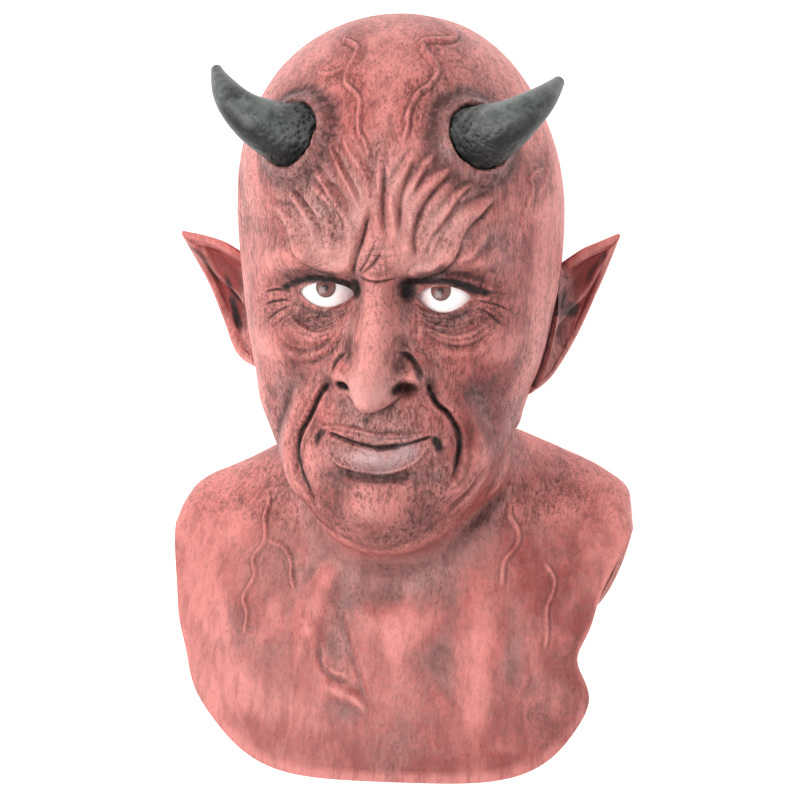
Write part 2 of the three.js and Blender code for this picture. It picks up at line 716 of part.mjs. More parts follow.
// The opening between the lids is an almond, cut straight back to the eye.
function makeOpening(side) {
  const { inner, outer, up, down } = side.opening;
  const points = [];
  const lid = (from, to, high, bow) => {
    for (let i = 0; i < LID_STEPS; i++) {
      const y = high * Math.sin((Math.PI * i) / LID_STEPS) ** bow;
      points.push(new THREE.Vector2(side.sign * mix(from, to, i / LID_STEPS), y));
    }
  };
  lid(-inner, outer, up, LID_BOW.up);
  lid(outer, -inner, -down, LID_BOW.down);
  const shape = new THREE.Shape(points);
  const geometry = new THREE.ExtrudeGeometry(shape, { depth: OPENING_DEPTH, bevelEnabled: false });
  return solidOf(geometry.translate(...ballCentre(side)));
}

function makeSkin() {
  let skin = makeSkinShell();
  for (const side of SIDES) skin = skin.add(makeEar(side));
  for (const side of SIDES) {
    const cuts = [makeHorn(side, GAP), makePocket(side), makeOpening(side)];
    skin = cuts.reduce((solid, cut) => solid.subtract(cut), skin);
  }
  return skin;
}

const skinLatex = new THREE.MeshStandardMaterial({ color: 0xc46c66, roughness: 0.55 });
const hornResin = new THREE.MeshStandardMaterial({ color: 0x4a5254, roughness: 0.4 });
const eyeWhite = new THREE.MeshStandardMaterial({ color: 0xf2ecea, roughness: 0.15 });

const mask = new THREE.Group();
function addPiece(name, solid, material) {
  const geometry = toCreasedNormals(geometryOf(solid), Math.PI / 5);
  const mesh = new THREE.Mesh(geometry, material);
  mesh.name = name;
  mask.add(mesh);
}

addPiece("mask_skin", makeSkin(), skinLatex);
for (const side of SIDES) {
  addPiece("horn_" + side.name, makeHorn(side), hornResin);
  addPiece("eye_" + side.name, makeEye(side), eyeWhite);
}

// The part's origin is on the ground, under the middle of its box.
mask.position.set(0, -(CROWN_Y + BIB_Y) / 2, -GROUND_Z);

export default mask;
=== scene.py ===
# %% [markdown]
# # A devil mask in painted latex
# The real mask is one hollow skin of rubber, cast in a mould and painted by hand, with two resin
# horns glued into sockets and two domed eyes behind the lids. The packed CAD model gives its size
# and place. Here each piece is made again, finely, from the same measures, and painted.

import math

import bpy
import numpy as np
from mathutils import Matrix


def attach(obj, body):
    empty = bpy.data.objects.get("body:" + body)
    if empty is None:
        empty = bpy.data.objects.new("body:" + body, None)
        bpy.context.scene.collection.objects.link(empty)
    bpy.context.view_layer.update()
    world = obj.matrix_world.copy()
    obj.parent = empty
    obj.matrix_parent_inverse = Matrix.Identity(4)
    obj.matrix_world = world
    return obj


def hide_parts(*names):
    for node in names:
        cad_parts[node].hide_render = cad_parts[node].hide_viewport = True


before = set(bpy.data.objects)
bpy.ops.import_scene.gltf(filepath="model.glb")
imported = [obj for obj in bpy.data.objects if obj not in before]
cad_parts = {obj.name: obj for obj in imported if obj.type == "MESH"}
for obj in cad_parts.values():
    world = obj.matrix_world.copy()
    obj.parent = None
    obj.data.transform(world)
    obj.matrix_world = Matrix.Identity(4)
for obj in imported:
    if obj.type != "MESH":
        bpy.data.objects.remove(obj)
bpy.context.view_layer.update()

# %% [markdown]
# ## The camera
# The mask lies on its back, so the camera looks down on it. It stands a little above the face and
# to the right of it, far enough away for the long, flat look of a product picture.

# %% Camera
MIDDLE = np.array([0.0, -6.0, 114.0])  # the middle of the head, in millimetres in the frame
DISTANCE = 1.5
VIEW_WIDTH = 0.448
TURNED = math.radians(7.5)
RAISED = math.radians(8.0)
SENSOR = 36.0
PIXELS = 800


def look_from(turned, raised, distance):
    """The matrix of a camera that looks at the middle of the head, with the crown up."""
    back = np.array([
        math.sin(turned) * math.cos(raised),
        math.sin(raised),
        math.cos(turned) * math.cos(raised),
    ])
    right = np.cross([0.0, 1.0, 0.0], back)
    right /= np.linalg.norm(right)
    place = MIDDLE / 1000 + back * distance
    rows = np.column_stack([right, np.cross(back, right), back, place])
    return Matrix([*rows.tolist(), [0, 0, 0, 1]])


lens = bpy.data.cameras.new("camera")
lens.sensor_width = SENSOR
lens.lens = SENSOR * DISTANCE / VIEW_WIDTH
lens.shift_x = -1 / PIXELS
lens.shift_y = -0.5 / PIXELS
camera = bpy.data.objects.new("camera", lens)
camera.matrix_world = look_from(TURNED, RAISED, DISTANCE)
bpy.context.scene.collection.objects.link(camera)
bpy.context.scene.camera = camera
print("lens", round(lens.lens, 1), "mm")

# %% [markdown]
# ## Small tools
# Every shape below is worked out as whole numpy arrays, in millimetres from the middle of the head,
# and put into a mesh at the end. These few functions are all the mathematics that it takes.


# %% Blends and bells
def smooth(low, high, v):
    """0 below low and 1 above high, with a soft step between them."""
    f = np.clip((v - low) / (high - low), 0, 1)
    return f * f * (3 - 2 * f)


def mix(a, b, f):
    """a at f = 0 and b at f = 1, evenly between"""
    return a + (b - a) * f


def bell(d):
    """1 in the middle, and e to the minus d squared away from it"""
    return np.exp(-d * d)


def length(v):
    """The length of each vector"""
    return np.linalg.norm(v, axis=-1)


def unit(v):
    """Each vector over its length"""
    return v / np.maximum(length(v), 1e-9)[..., None]


def larger(a, b, blend):
    """The larger of two heights, with a fillet where they meet."""
    return (a + b + np.hypot(a - b, blend)) / 2


print("a soft step a quarter of the way up:", smooth(0, 1, 0.25))


# %% Curves and random clouds
def through(values, s):
    """A Catmull-Rom curve through equally spaced values, read at s."""
    values = np.asarray(values, float)
    s = np.asarray(s, float)
    k = np.clip(np.floor(s).astype(int), 0, len(values) - 2)
    f = (s - k).reshape(s.shape + (1,) * (values.ndim - 1))
    a, b, c, d = (values[np.clip(k + i, 0, len(values) - 1)] for i in (-1, 0, 1, 2))
    return b + 0.5 * f * (c - a + f * (2 * a - 5 * b + 4 * c - d + f * (3 * (b - c) + d - a)))


def cloud(p, size, seed):
    """Random values of -1 to 1 on a lattice of that size, blended smoothly between its corners."""
    q = p / size + 31.7 * seed
    cell = np.floor(q).astype(np.int64)
    f = q - cell
    f = f * f * (3 - 2 * f)
    total = 0
    for corner in np.ndindex(2, 2, 2):
        c = cell + corner
        mixed = (c[..., 0] * 73856093) ^ (c[..., 1] * 19349663) ^ (c[..., 2] * 83492791)
        mixed = (mixed ^ (mixed >> 13)) * 1274126177
        value = ((mixed ^ (mixed >> 16)) & 0xFFFF) / 32767.5 - 1
        weight = np.prod(np.where(corner, f, 1 - f), axis=-1)
        total = total + weight * value
    return total


print("a cloud at three places:", np.round(cloud(9.0 * np.eye(3), 7, 1), 2))


# %% Put points and triangles into a mesh
def make_mesh(name, points, triangles):
    """A mesh of triangles. Points come in millimetres from the middle of the head."""
    mesh = bpy.data.meshes.new(name)
    mesh.vertices.add(len(points))
    mesh.vertices.foreach_set("co", ((points + MIDDLE) / 1000).astype(np.float32).ravel())
    mesh.loops.add(3 * len(triangles))
    mesh.loops.foreach_set("vertex_index", triangles.astype(np.int32).ravel())
    mesh.polygons.add(len(triangles))
    mesh.polygons.foreach_set("loop_start", np.arange(0, 3 * len(triangles), 3, dtype=np.int32))
    mesh.polygons.foreach_set("use_smooth", np.ones(len(triangles), bool))
    mesh.update(calc_edges=True)
    mesh.validate()
    return mesh


def make_object(name, mesh):
    """An object at the origin, so that its place lies in its mesh."""
    piece = bpy.data.objects.new(name, mesh)
    bpy.context.scene.collection.objects.link(piece)
    return piece


print("the middle of the head lies", MIDDLE[2], "mm over the floor")


# %% Close rings into a body
def outward(points, triangles):
    """Turns a closed body's triangles round if they face its inside."""
    a, b, c = (points[triangles[:, i]] for i in range(3))
    volume = (a * np.cross(b, c)).sum()
    return triangles if volume > 0 else triangles[:, ::-1]


def tube(rings):
    """Closes rings of points, one after the other, into a body with a point at each end."""
    count, sides = rings.shape[:2]
    points = np.concatenate([rings.reshape(-1, 3), rings[[0, -1]].mean(1)])
    ring, side = np.meshgrid(np.arange(count - 1), np.arange(sides), indexing="ij")
    a = ring * sides + side
    b = ring * sides + (side + 1) % sides
    wall = np.concatenate([
        np.stack([a, b, b + sides], -1).reshape(-1, 3),
        np.stack([a, b + sides, a + sides], -1).reshape(-1, 3),
    ])
    k = np.arange(sides)
    after = (k + 1) % sides
    last = (count - 1) * sides
    first_cap = np.stack([np.full(sides, count * sides), after, k], -1)
    last_cap = np.stack([np.full(sides, count * sides + 1), last + k, last + after], -1)
    return points, outward(points, np.concatenate([wall, first_cap, last_cap]))


square = np.array([(1, 0), (0, 1), (-1, 0), (0, -1)])
box = np.array([np.column_stack([square, np.full(4, level)]) for level in (0.0, 1.0)])
print("two rings of four points close into", len(tube(box)[1]), "triangles")

# %% [markdown]
# ## The head
# A head is a stack of closed rings from the crown to the edge of the bib. Each ring is given by a
# few measures, and a smooth curve runs through them, so that one function gives any point of the
# head from two numbers: how far round, and how far down. These are the CAD model's own measures.

# %% Measures of the head
CROWN_Y = 214
BIB_Y = -202
GROUND_Z = -114
WALL = 3
GAP = 0.35
SKULL = dict(half_width=90.5, front=99, back=-117, y=106, middle_rise=2, power=2.1)
SWAY = dict(from_y=-112, top=-5, bottom=4)
# how far the sides of the bib draw in near a height: y, height, left and right
WAISTS = [(-106, 32, 4.6, 7), (-137, 13, 1.5, 8), (-160, 14, -1.5, -2.5)]
# how far the head leans near a height: y, height, x and the station from which it leans
LEANS = [(190, 45, -3.5, 0), (0, 15, -2.5, 0), (-40, 15, 6.4, 6)]
print("crown to bib:", CROWN_Y - BIB_Y, "mm")

# %% Rings from the temples to the edge of the bib
# half width, y and z at the side | depth and y in front | depth and y behind | full | level
STATIONS = np.array([
    (90.5, 106, 0, 99, 108, -117, 108, 0.02, 2),
    (88, 70, 0, 94, 68, -115, 62, 0.04, 2),
    (82.5, 36, 4, 90, 28, -102, 18, 0.05, 2.2),
    (77, 12, 10, 91, -9, -86, -16, 0.04, 2.6),
    (72, -3, 12, 92, -44, -73, -38, 0.02, 2.7),
    (68.5, -11, 8, 80, -69, -67, -51, 0, 2.35),
    (64, -16, -6, 60, -77.5, -65, -61, 0, 2.6),
    (66, -21, -26, 51, -88, -70, -72, 0, 2.8),
    (82, -32, -42, 52, -103, -84, -86, 0.04, 2.8),
    (106, -44, -41, 56, -131, -101, -104, 0.12, 3.1),
    (124, -54, -27, 62, -168, -114, -128, 0.18, 3.4),
    (130, -72, -6, 66, BIB_Y, -118, -160, 0.2, 4.2),
])
LAST = len(STATIONS)
print("the head has", LAST, "stations below the crown")

# %% Measures of the eyes, horns and ears
BALL = dict(radius=17, z=65, lid=2, flat_back=3)
LID_BOW = dict(up=0.55, down=0.8)
HORN = dict(base=17.5, tip=3.2, narrowing=1.3, sunk=2.2, collar=20.5, rim=4, rise=3.4)
LIP = dict(at=19.0, wander=0.5, rise=2.2, wide=1.4)
EAR = dict(thick=4.4, sunk=1.8, cup=9, roll=2.6, roll_at=0.82, roll_wide=0.14, tip_at=0.72)
EAR_ROOT_TURN = (-0.04, 0.16)
EAR_FOOT = (80, 88)
# the ear's rim from lobe to point: how far out and up, share of the belly, and depth
LOWER_RIM = [(0.1, 0.06, 0, -6), (0.32, 0.3, 1, -26), (0.65, 0.62, 0.5, -33)]
UPPER_RIM = (0.5, 0.25, -17)
SIDES = [
    dict(
        name="left", sign=-1, eye=(29.6, 67.3), almond=(15.4, 15, 6.2, 7.3),
        horn=((46.5, 150), (27, 8, 30), (87, 184, 80)),
        ear_tip=(128.6, 91, -20), lobe=20, top=84, belly=10.5, lobe_out=9.5,
    ),
    dict(
        name="right", sign=1, eye=(33, 65.6), almond=(14.2, 14.2, 6.6, 7.5),
        horn=((49.5, 149), (26, 8, 29), (91.5, 178, 70)),
        ear_tip=(120.5, 92, -20), lobe=9, top=81, belly=3, lobe_out=0,
    ),
]
print("eyes", sum(side["eye"][0] for side in SIDES), "mm apart")


# %% The smooth head
def bare(turn, t):
    """The point at a turn round the head (0 at the nose) and at station t (0 at the crown).

    Across a ring the width goes with the sine of the turn and the depth with its cosine, and full
    pushes both out toward the corners. Above the temples the rings close as a superellipse.
    """
    turn, t = np.broadcast_arrays(np.asarray(turn, float), np.asarray(t, float))
    ring = through(STATIONS, np.maximum(t - 1, 0))
    half, side_y, side_z, front, front_y, back, back_y, full, level = np.moveaxis(ring, -1, 0)
    angle = np.clip(t, 0, 1) * np.pi / 2
    crown = t < 1
    power = 2 / SKULL["power"]
    open_ = np.sin(angle) ** power
    crown_y = SKULL["y"] + (CROWN_Y - SKULL["y"]) * np.maximum(np.cos(angle), 0) ** power
    half = np.where(crown, SKULL["half_width"] * open_, half)
    front = np.where(crown, SKULL["front"] * open_, front)
    back = np.where(crown, SKULL["back"] * open_, back)
    side_y = np.where(crown, crown_y, side_y)
    middle_y = crown_y + SKULL["middle_rise"] * open_
    front_y = np.where(crown, middle_y, front_y)
    back_y = np.where(crown, middle_y, back_y)
    side_z = np.where(crown, 0, side_z)
    sin = np.sin(turn)
    cos = np.cos(turn)
    end_y = np.where(cos > 0, front_y, back_y)
    end_z = np.where(cos > 0, front, back)
    x = half * sin * (1 + full * cos**2)
    y = mix(side_y, end_y, 1 - np.abs(sin) ** level)
    z = side_z + (end_z - side_z) * np.abs(cos) * (1 + full * sin**2)
    for lean_y, high, lean_x, start in LEANS:
        x = x + lean_x * bell((y - lean_y) / high) * smooth(start, start + 1, t)
    cut = smooth(LAST - 4, LAST, t) * smooth(-0.1, 0.4, cos)
    for waist_y, high, left, right in WAISTS:
        depth = np.where(sin < 0, left, right) * bell((y - waist_y) / high)
        x = x - cut * np.sign(sin) * np.minimum(np.abs(x), depth)
    sway = mix(SWAY["top"], SWAY["bottom"], 1 - smooth(BIB_Y, SWAY["from_y"], y))
    x = x + cut * smooth(0, 0.5, cos) * sway
    return np.stack([x, y, z], -1)


def bare_normal(turn, t):
    """The outward direction, from the cross product of a step round and a step down."""
    step = 0.02
    start = np.maximum(2 * step, t)
    round_ = bare(turn + step, start) - bare(turn - step, start)
    down = bare(turn, np.minimum(LAST, start + step)) - bare(turn, start - step)
    return unit(np.cross(down, round_))


print("the head is", round(2 * float(bare(np.pi / 2, 1.0)[0])), "mm wide at the temples")

# %% [markdown]
# ## Relief
# On the real mask the sculptor pressed and pulled clay: broad mounds for cheeks and chin, ropes of
# skin that fan up from the nose, veins, and sharp creases. Each fold is a line drawn on the face as
# seen from in front. Its height falls off as a bell from the line, with a shallow gutter on both
# sides, because pushed clay is missing beside the rope that it made.

# %% Mounds and hollows: place, half size, height, on both sides or not
MOUNDS = [
    ((0, 88), (13, 10), 4, False),
    ((26, 93), (18, 8), 6.5, True),
    ((48, 86), (14, 9), 5, True),
    ((14, 70), (8, 9), -7, True),
    ((32, 66), (20, 12), -10, True),
    ((31, 49), (15, 6), 2.4, True),
    ((54, 40), (17, 15), 5, True),
    ((58, 6), (15, 20), -4.5, True),
    ((76, 96), (12, 22), -3, True),
    ((0, -10), (33, 22), 7, False),
    ((0, -27), (20, 4.5), -5, False),
    ((-2, -46), (16, 14), 7.5, False),
    ((40, -30), (11, 15), 4, True),
    ((0, -100), (16, 12), -5, False),
    ((-30, -134), (8, 13), -2.6, False),
    ((0, -97), (26, 14), -1.6, False),
]
BULB = ((-2.6, 21), (10.5, 9), 7, False)
WINGS = ((18.5, 25), (6.5, 7.5), 14, True)
NOSTRILS = [((-18, 20.4), (4.2, 2.7), -11, False), ((14.4, 18.4), (6.2, 3.9), -15, False)]
NOSE_LEAN = dict(x=-2.2, top=60, bottom=22)
NOSE = dict(
    root=80, tip=19, bottom=8, low=5, high=32, narrow=8.8, wide=11.2, hook=4, climb=0.8, square=2.8
)
print(len(MOUNDS), "mounds and hollows, and a nose", NOSE["root"] - NOSE["bottom"], "mm long")

# %% Lines that are both pressed in and painted
FROWN = [[(0, 97), (-5, 86), (-10, 79)], [(4, 92), (-3, 83.5), (-9, 79)]]
CROWS_FEET = [
    [(-66, 66), (-58, 68), (-50, 67)],
    [(-66, 59), (-58, 62), (-50, 63)],
    [(-63, 51), (-56, 57), (-49, 60)],
    [(49, 61), (56, 57), (64, 49)],
    [(50, 64), (59, 62), (67, 57)],
]
WING_EDGE = [[(-16, 38), (-22, 33), (-25, 25)], [(10, 39), (17, 35), (22, 29), (23, 22)]]
ACROSS_ROOT = [(-12, 78), (0, 76), (12, 77)]
MOUTH = [(-28, -5), (-20, -7), (-10, -10.2), (1, -12), (11, -11), (21, -8.8), (29, -6.4)]
MOUTH_CORNER = [(-28, -3.5), (-32, -8), (-34, -14)]
print("the closed mouth is", MOUTH[-1][0] - MOUTH[0][0], "mm wide")

# %% Ropes of the forehead: height, half width and path
BROW_ROPES = [
    (3.8, 3.4, [(-60, 114), (-51, 110), (-45, 102), (-39, 92), (-33, 85), (-26, 81.5), (-18, 82),
        (-13.5, 86), (-12, 95), (-13, 104), (-16, 110), (-22, 117), (-29, 121), (-38, 127)]),
    (2.2, 2.1, [(-50, 123), (-44, 117), (-38, 108), (-33, 102), (-29, 94)]),
    (2.4, 2.2, [(-35, 137), (-28, 126), (-22, 120), (-18, 113), (-14, 107)]),
    (2.0, 2.0, [(-30, 113), (-25, 104), (-23, 94), (-21, 89)]),
    (2.9, 2.7, [(-27, 152), (-22, 140), (-17, 130), (-13, 123), (-9, 115), (-8, 106), (-10, 97)]),
    (2.3, 2.4, [(-20, 154), (-15, 143), (-9, 135), (-5, 128), (-4, 119), (-5, 107)]),
    (4.2, 3.5, [(61, 121), (53, 114), (46, 109), (42, 102), (36, 92), (31, 84), (23, 79.5), (15, 78),
        (12, 85)]),
    (2.6, 2.4, [(50, 127), (42, 120), (36, 112), (31, 104), (27, 98), (23, 90)]),
    (3.1, 2.7, [(40, 138), (30, 128), (23, 121), (19, 113), (17, 104), (15, 94), (16, 84)]),
    (2.0, 1.9, [(31, 146), (25, 135), (20, 127), (16, 119)]),
    (2.9, 2.5, [(22, 147), (15, 134), (10, 125), (8, 117), (9, 107), (12, 97)]),
    (1.6, 2.0, [(3, 148), (1, 128), (0, 112), (2, 98)]),
    (1.6, 2.4, [(58, 104), (51, 96), (42, 88), (34, 84)]),
]
print(len(BROW_ROPES), "ropes fan up from the nose")

# %% Ropes of the eyes, mouth and chest
# bags under the eyes and the rims of the lids
LID_ROPES = [
    (1.6, 3.0, [(-49, 56), (-43, 48), (-33, 45), (-24, 49), (-20, 55)]),
    (1.5, 3.0, [(23, 55), (35, 46), (46, 47), (54, 54)]),
    (0.7, 2.2, [(-53, 40), (-44, 34), (-32, 36), (-24, 42)]),
    (0.7, 2.2, [(27, 43), (36, 37), (47, 37), (56, 44)]),
    (1.6, 1.6, [(-46, 64), (-40, 60), (-30, 58), (-20, 59.5), (-14, 64)]),
    (1.6, 1.6, [(18, 61.5), (25, 57.5), (34, 56), (42, 57.5), (48, 62)]),
]
# the fold beside the mouth, then the upper lip, its edge, the lower lip and its edge
MOUTH_ROPES = [
    (2.8, 5.5, [(-31, 27), (-41, 14), (-50, -3), (-51, -20), (-45, -36), (-38, -52)]),
    (2.8, 5.5, [(31, 27), (42, 13), (50, -4), (50, -22), (43, -38)]),
    (1.9, 2.5, [(-26, -4.4), (-15, -4.8), (-4, -7.6), (8, -8.6), (20, -7.8), (27, -6.8)]),
    (0.9, 0.8, [(-31, -4.4), (-26.5, -2.6), (-20, -1.8), (-9, -3.4), (-2.7, -5.2), (5.6, -6),
        (15.5, -5.8), (27, -5.6)]),
    (4.6, 5.4, [(-20, -14), (-9, -17.5), (1, -18.5), (11, -17.5), (20, -14)]),
    (1.2, 0.9, [(-27, -11), (-24.5, -17), (-19.5, -22.4), (-12.5, -25.2), (-2.7, -26.8), (5.6, -26),
        (15.4, -22.6), (21.7, -17), (25, -10.6)]),
]
# cords of the neck and the ribs of the chest
CHEST_ROPES = [
    (4.6, 8.0, [(-29, -78), (-40, -105), (-46, -127), (-54, -149)]),
    (4.4, 12.0, [(44, -82), (50, -114), (51, -150), (49, -183)]),
    (1.8, 4.5, [(-52, -112), (-40, -127), (-31, -131)]),
    (2.2, 3.6, [(-40, -150), (-24, -155), (-14, -161), (-8, -172)]),
    (1.0, 9.0, [(62, -100), (77, -126), (94, -153)]),
    (1.2, 9.0, [(10, -96), (8, -130), (14, -166)]),
    (1.6, 10.0, [(-112, -96), (-96, -76), (-62, -66)]),
    (1.6, 10.0, [(60, -62), (92, -66), (112, -88)]),
]
ROPES = BROW_ROPES + LID_ROPES + MOUTH_ROPES + CHEST_ROPES
print(len(ROPES), "ropes in all")

# %% Creases between the ropes and round the eyes: depth, half width and path
BROW_CREASES = [
    (2.2, 1.2, [(-4, 112), (-6, 101), (-8, 94), (-11, 85), (-14, 77)]),
    (1.0, 0.8, FROWN[0]),
    (1.0, 0.8, FROWN[1]),
    (2.3, 1.4, [(38, 131), (31, 124), (25, 115), (21, 106), (19, 98), (20, 91), (20, 86)]),
    (2.3, 1.4, [(49, 125), (42, 118), (37, 109), (31, 102), (27, 97), (24, 88)]),
    (1.8, 1.2, [(28, 138), (23, 128), (19, 120)]),
    (2.0, 1.2, [(20, 139), (15, 127), (13, 118), (12, 109), (11, 102)]),
    (2.2, 1.5, [(60, 117), (51, 106), (43, 98), (40, 92), (37, 84), (32, 78), (20, 75)]),
    (1.5, 1.3, [(-57, 108), (-47, 98), (-40, 87), (-34, 80), (-22, 77)]),
    (1.8, 1.2, [(-47, 124), (-38, 113), (-33, 107), (-28, 98)]),
    (1.8, 1.2, [(-33, 128), (-24, 118), (-19, 110), (-17, 100)]),
    (2.0, 1.3, [(-24, 146), (-15, 131), (-11, 124), (-8, 116)]),
    (1.4, 1.2, [(4, 138), (4, 122), (4, 108), (7, 96)]),
    (1.6, 1.0, ACROSS_ROOT),
]
EYE_CREASES = [
    (0.8, 1.1, [(-55, 46), (-46, 38), (-33, 39), (-21, 49)]),
    (0.8, 1.1, [(22, 50), (33, 42), (45, 41), (56, 48)]),
    (0.9, 0.9, [(-48, 55), (-40, 51), (-31, 50), (-22, 54)]),
    (0.8, 0.9, [(-46, 51), (-38, 46.5), (-30, 45.5), (-20, 51)]),
    (0.9, 0.9, [(22, 54), (33, 49.5), (43, 50), (52, 56)]),
    (0.8, 0.9, [(25, 50), (36, 44.5), (46, 45.5), (55, 51)]),
    (1.2, 1.6, [(14, 50), (20, 42), (28, 33.6), (37, 25)]),
    (1.2, 1.6, [(-18, 48), (-21, 43), (-28, 35), (-42, 29)]),
    (0.8, 0.9, [(-58, 47), (-53, 53), (-47, 57)]),
    (0.8, 0.9, [(52, 68), (60, 68), (68, 66)]),
]
EYE_CREASES += [(0.9, 0.9, foot) for foot in CROWS_FEET]
print(len(BROW_CREASES) + len(EYE_CREASES), "creases above the nose's tip")

# %% Creases of the cheeks, mouth and chest
# from the wings of the nose past the mouth, and down the jaw
CHEEK_CREASES = [
    (3.2, 1.5, [(-25, 22), (-32, 14), (-38, 2), (-43, -7), (-44.5, -16), (-42, -27), (-37, -38),
        (-33, -48)]),
    (3.2, 1.5, [(25, 24), (29, 12), (36, 4), (41, -5), (41.5, -14), (39, -25), (35, -33)]),
    (1.8, 1.3, WING_EDGE[0]),
    (2.2, 1.4, WING_EDGE[1]),
    (1.4, 1.6, [(54, -25), (44, -37), (34, -49)]),
    (1.2, 1.6, [(-52, -28), (-47, -42), (-38, -54)]),
]
# mouth, its corners and the groove under the lip
MOUTH_CREASES = [
    (2.4, 1.15, MOUTH),
    (1.8, 1.7, MOUTH_CORNER),
    (1.8, 1.7, [(28, -6.5), (31, -10), (32, -16)]),
    (1.4, 2.4, [(-24, -24), (-12, -28), (0, -29.5), (12, -28.5), (22, -23)]),
    (1.6, 2.2, [(-2, 4), (-1, 0), (0, -4)]),
]
# chest, with the notch left of its middle
CHEST_CREASES = [
    (1.3, 2.2, [(-30, -104), (-26, -118), (-21, -132), (-15, -146), (-12, -162)]),
    (1.4, 1.6, [(-38, -126), (-38, -138), (-33, -145), (-20, -149)]),
    (1.4, 6.0, [(-28, -82), (-8, -88), (12, -88), (28, -81)]),
    (0.6, 8.0, [(64, -104), (68, -126), (80, -150)]),
]
CREASES = BROW_CREASES + EYE_CREASES + CHEEK_CREASES + MOUTH_CREASES + CHEST_CREASES
print(len(CREASES), "creases in all")

# %% Veins, which are thin ropes that wander
VEINS = [
    (1.6, 1.15, [(-22, 205), (-24, 200), (-21, 199), (-16, 196), (-16, 192), (-19, 185), (-20, 180),
        (-19, 177), (-14, 173), (-11, 169), (-11, 161), (-10, 153), (-6, 147), (-4, 138)]),
    (1.7, 1.2, [(27, 207), (33, 202), (32, 200), (24, 200), (18, 199), (21, 194), (27, 187),
        (28, 183), (25, 177), (20, 173), (17, 168), (15, 161), (15, 155), (13, 147)]),
    (0.9, 1.0, [(30, 186), (36, 178), (37, 168)]),
    (0.9, 1.0, [(-20, 186), (-30, 182), (-38, 184)]),
    (0.6, 0.7, [(82, 157), (83, 148), (84, 127), (80, 117)]),
    (0.7, 0.75, [(83, 132), (77, 128), (78, 119), (75, 106), (78, 94)]),
    (0.6, 0.7, [(-86, 130), (-84, 116), (-86, 104), (-84, 92)]),
    (1.4, 1.1, [(-76, -55), (-74, -60), (-75, -66), (-74, -78), (-80, -88), (-78, -96), (-84, -108),
        (-81, -117), (-83, -129)]),
    (1.3, 1.05, [(-74, -78), (-64, -80), (-60, -83), (-57, -89), (-57, -94), (-55, -103)]),
    (1.4, 1.1, [(63, -54), (63, -62), (68, -71), (67, -78), (61, -86), (61, -100)]),
    (1.3, 1.05, [(82, -86), (88, -94), (88, -101), (85, -110), (86, -122), (85, -132)]),
]
print(len(VEINS), "veins")

# %% Heights above the smooth head
RUN_OUT = 4.5  # a fold runs out over so many of its half widths


def along_line(flat, path, reach):
    """How far points lie from a smooth line through the path, and how far from its nearer end."""
    line = through(path, np.linspace(0, len(path) - 1, 5 * len(path)))
    near = np.full(len(flat), np.inf)
    run = np.zeros(len(flat))
    inside = ((flat > line.min(0) - reach) & (flat < line.max(0) + reach)).all(1)
    kept = np.nonzero(inside)[0]
    q = flat[kept, None]
    step = line[1:] - line[:-1]
    f = np.clip(((q - line[:-1]) * step).sum(-1) / (step * step).sum(-1), 0, 1)
    away = length(q - line[:-1] - f[..., None] * step)
    best = away.argmin(1)
    row = np.arange(len(kept))
    near[kept] = away[row, best]
    sizes = length(step)
    start = np.concatenate([[0], np.cumsum(sizes)])
    along = start[best] + f[row, best] * sizes[best]
    run[kept] = np.minimum(along, start[-1] - along)
    return near, run


def fold_height(flat, rise, wide, path, gutter):
    """A bell across the line, less a narrower bell on both sides. It runs out toward the ends."""
    near, run = along_line(flat, path, 3.2 * wide)
    taper = smooth(0, RUN_OUT * wide, run)
    here = wide * (0.6 + 0.4 * taper)
    edge = gutter * bell((near - 1.75 * here) / (0.6 * here))
    return rise * taper * (bell(near / here) - edge)


def mound_height(x, y, at, size, rise, both):
    """A bell over an ellipse, or over a pair of them, one on each side."""
    side = np.abs(x) if both else x
    return rise * bell(np.hypot((side - at[0]) / size[0], (y - at[1]) / size[1]))


print("a fold runs out over", RUN_OUT, "half widths")

# %% The nose
SAG = 0.035  # how fast the crest drops behind its middle line


def nose_height(x, y):
    """The crest climbs from the root to the tip, rounds off under it, and falls away sideways."""
    y = y - SAG * x**2
    down = np.clip((NOSE["root"] - y) / (NOSE["root"] - NOSE["tip"]), 0, 1)
    start = 1 - smooth(NOSE["root"] - 4, NOSE["root"] + 8, y)
    under = np.clip((NOSE["tip"] - y) / (NOSE["tip"] - NOSE["bottom"]), 0, 1)
    crest = mix(NOSE["low"], NOSE["high"], down ** NOSE["climb"]) * start * np.sqrt(1 - under**2)
    side = np.abs(x) / mix(NOSE["narrow"], NOSE["wide"], down)
    return crest * np.exp(-(side ** NOSE["square"]))


print("the nose stands up to", round(float(nose_height(np.zeros(99), np.linspace(0, 90, 99)).max())), "mm")

# %% Sockets for the eyes and horns
SEARCH_STEPS = 60


def seat_eye(p, side):
    """The lids lie as a dome over the ball of the eye: the larger of skin and dome, with a fillet."""
    away = np.hypot(p[..., 0] - side["sign"] * side["eye"][0], p[..., 1] - side["eye"][1])
    radius = BALL["radius"] + GAP + BALL["lid"]
    dome = BALL["z"] + np.sqrt(np.maximum(radius**2 - away**2, 0))
    over = (p[..., 2] > 0) & (away < radius)
    p[..., 2] = np.where(over, larger(p[..., 2], dome, 1.5), p[..., 2])


def horn_frame(side):
    """The place on the bare head where a horn stands, and the way it faces, found step by step."""
    x, y = side["horn"][0]
    turn, t = 0.6, 0.7
    for _ in range(SEARCH_STEPS):
        p = bare(turn, t)
        turn += (x - p[0]) / SKULL["half_width"]
        t -= (y - p[1]) / (CROWN_Y - SKULL["y"])
    mirror = np.array([side["sign"], 1, 1])
    return bare(turn, t) * mirror, bare_normal(turn, t) * mirror


HORN_FRAMES = {side["name"]: horn_frame(side) for side in SIDES}


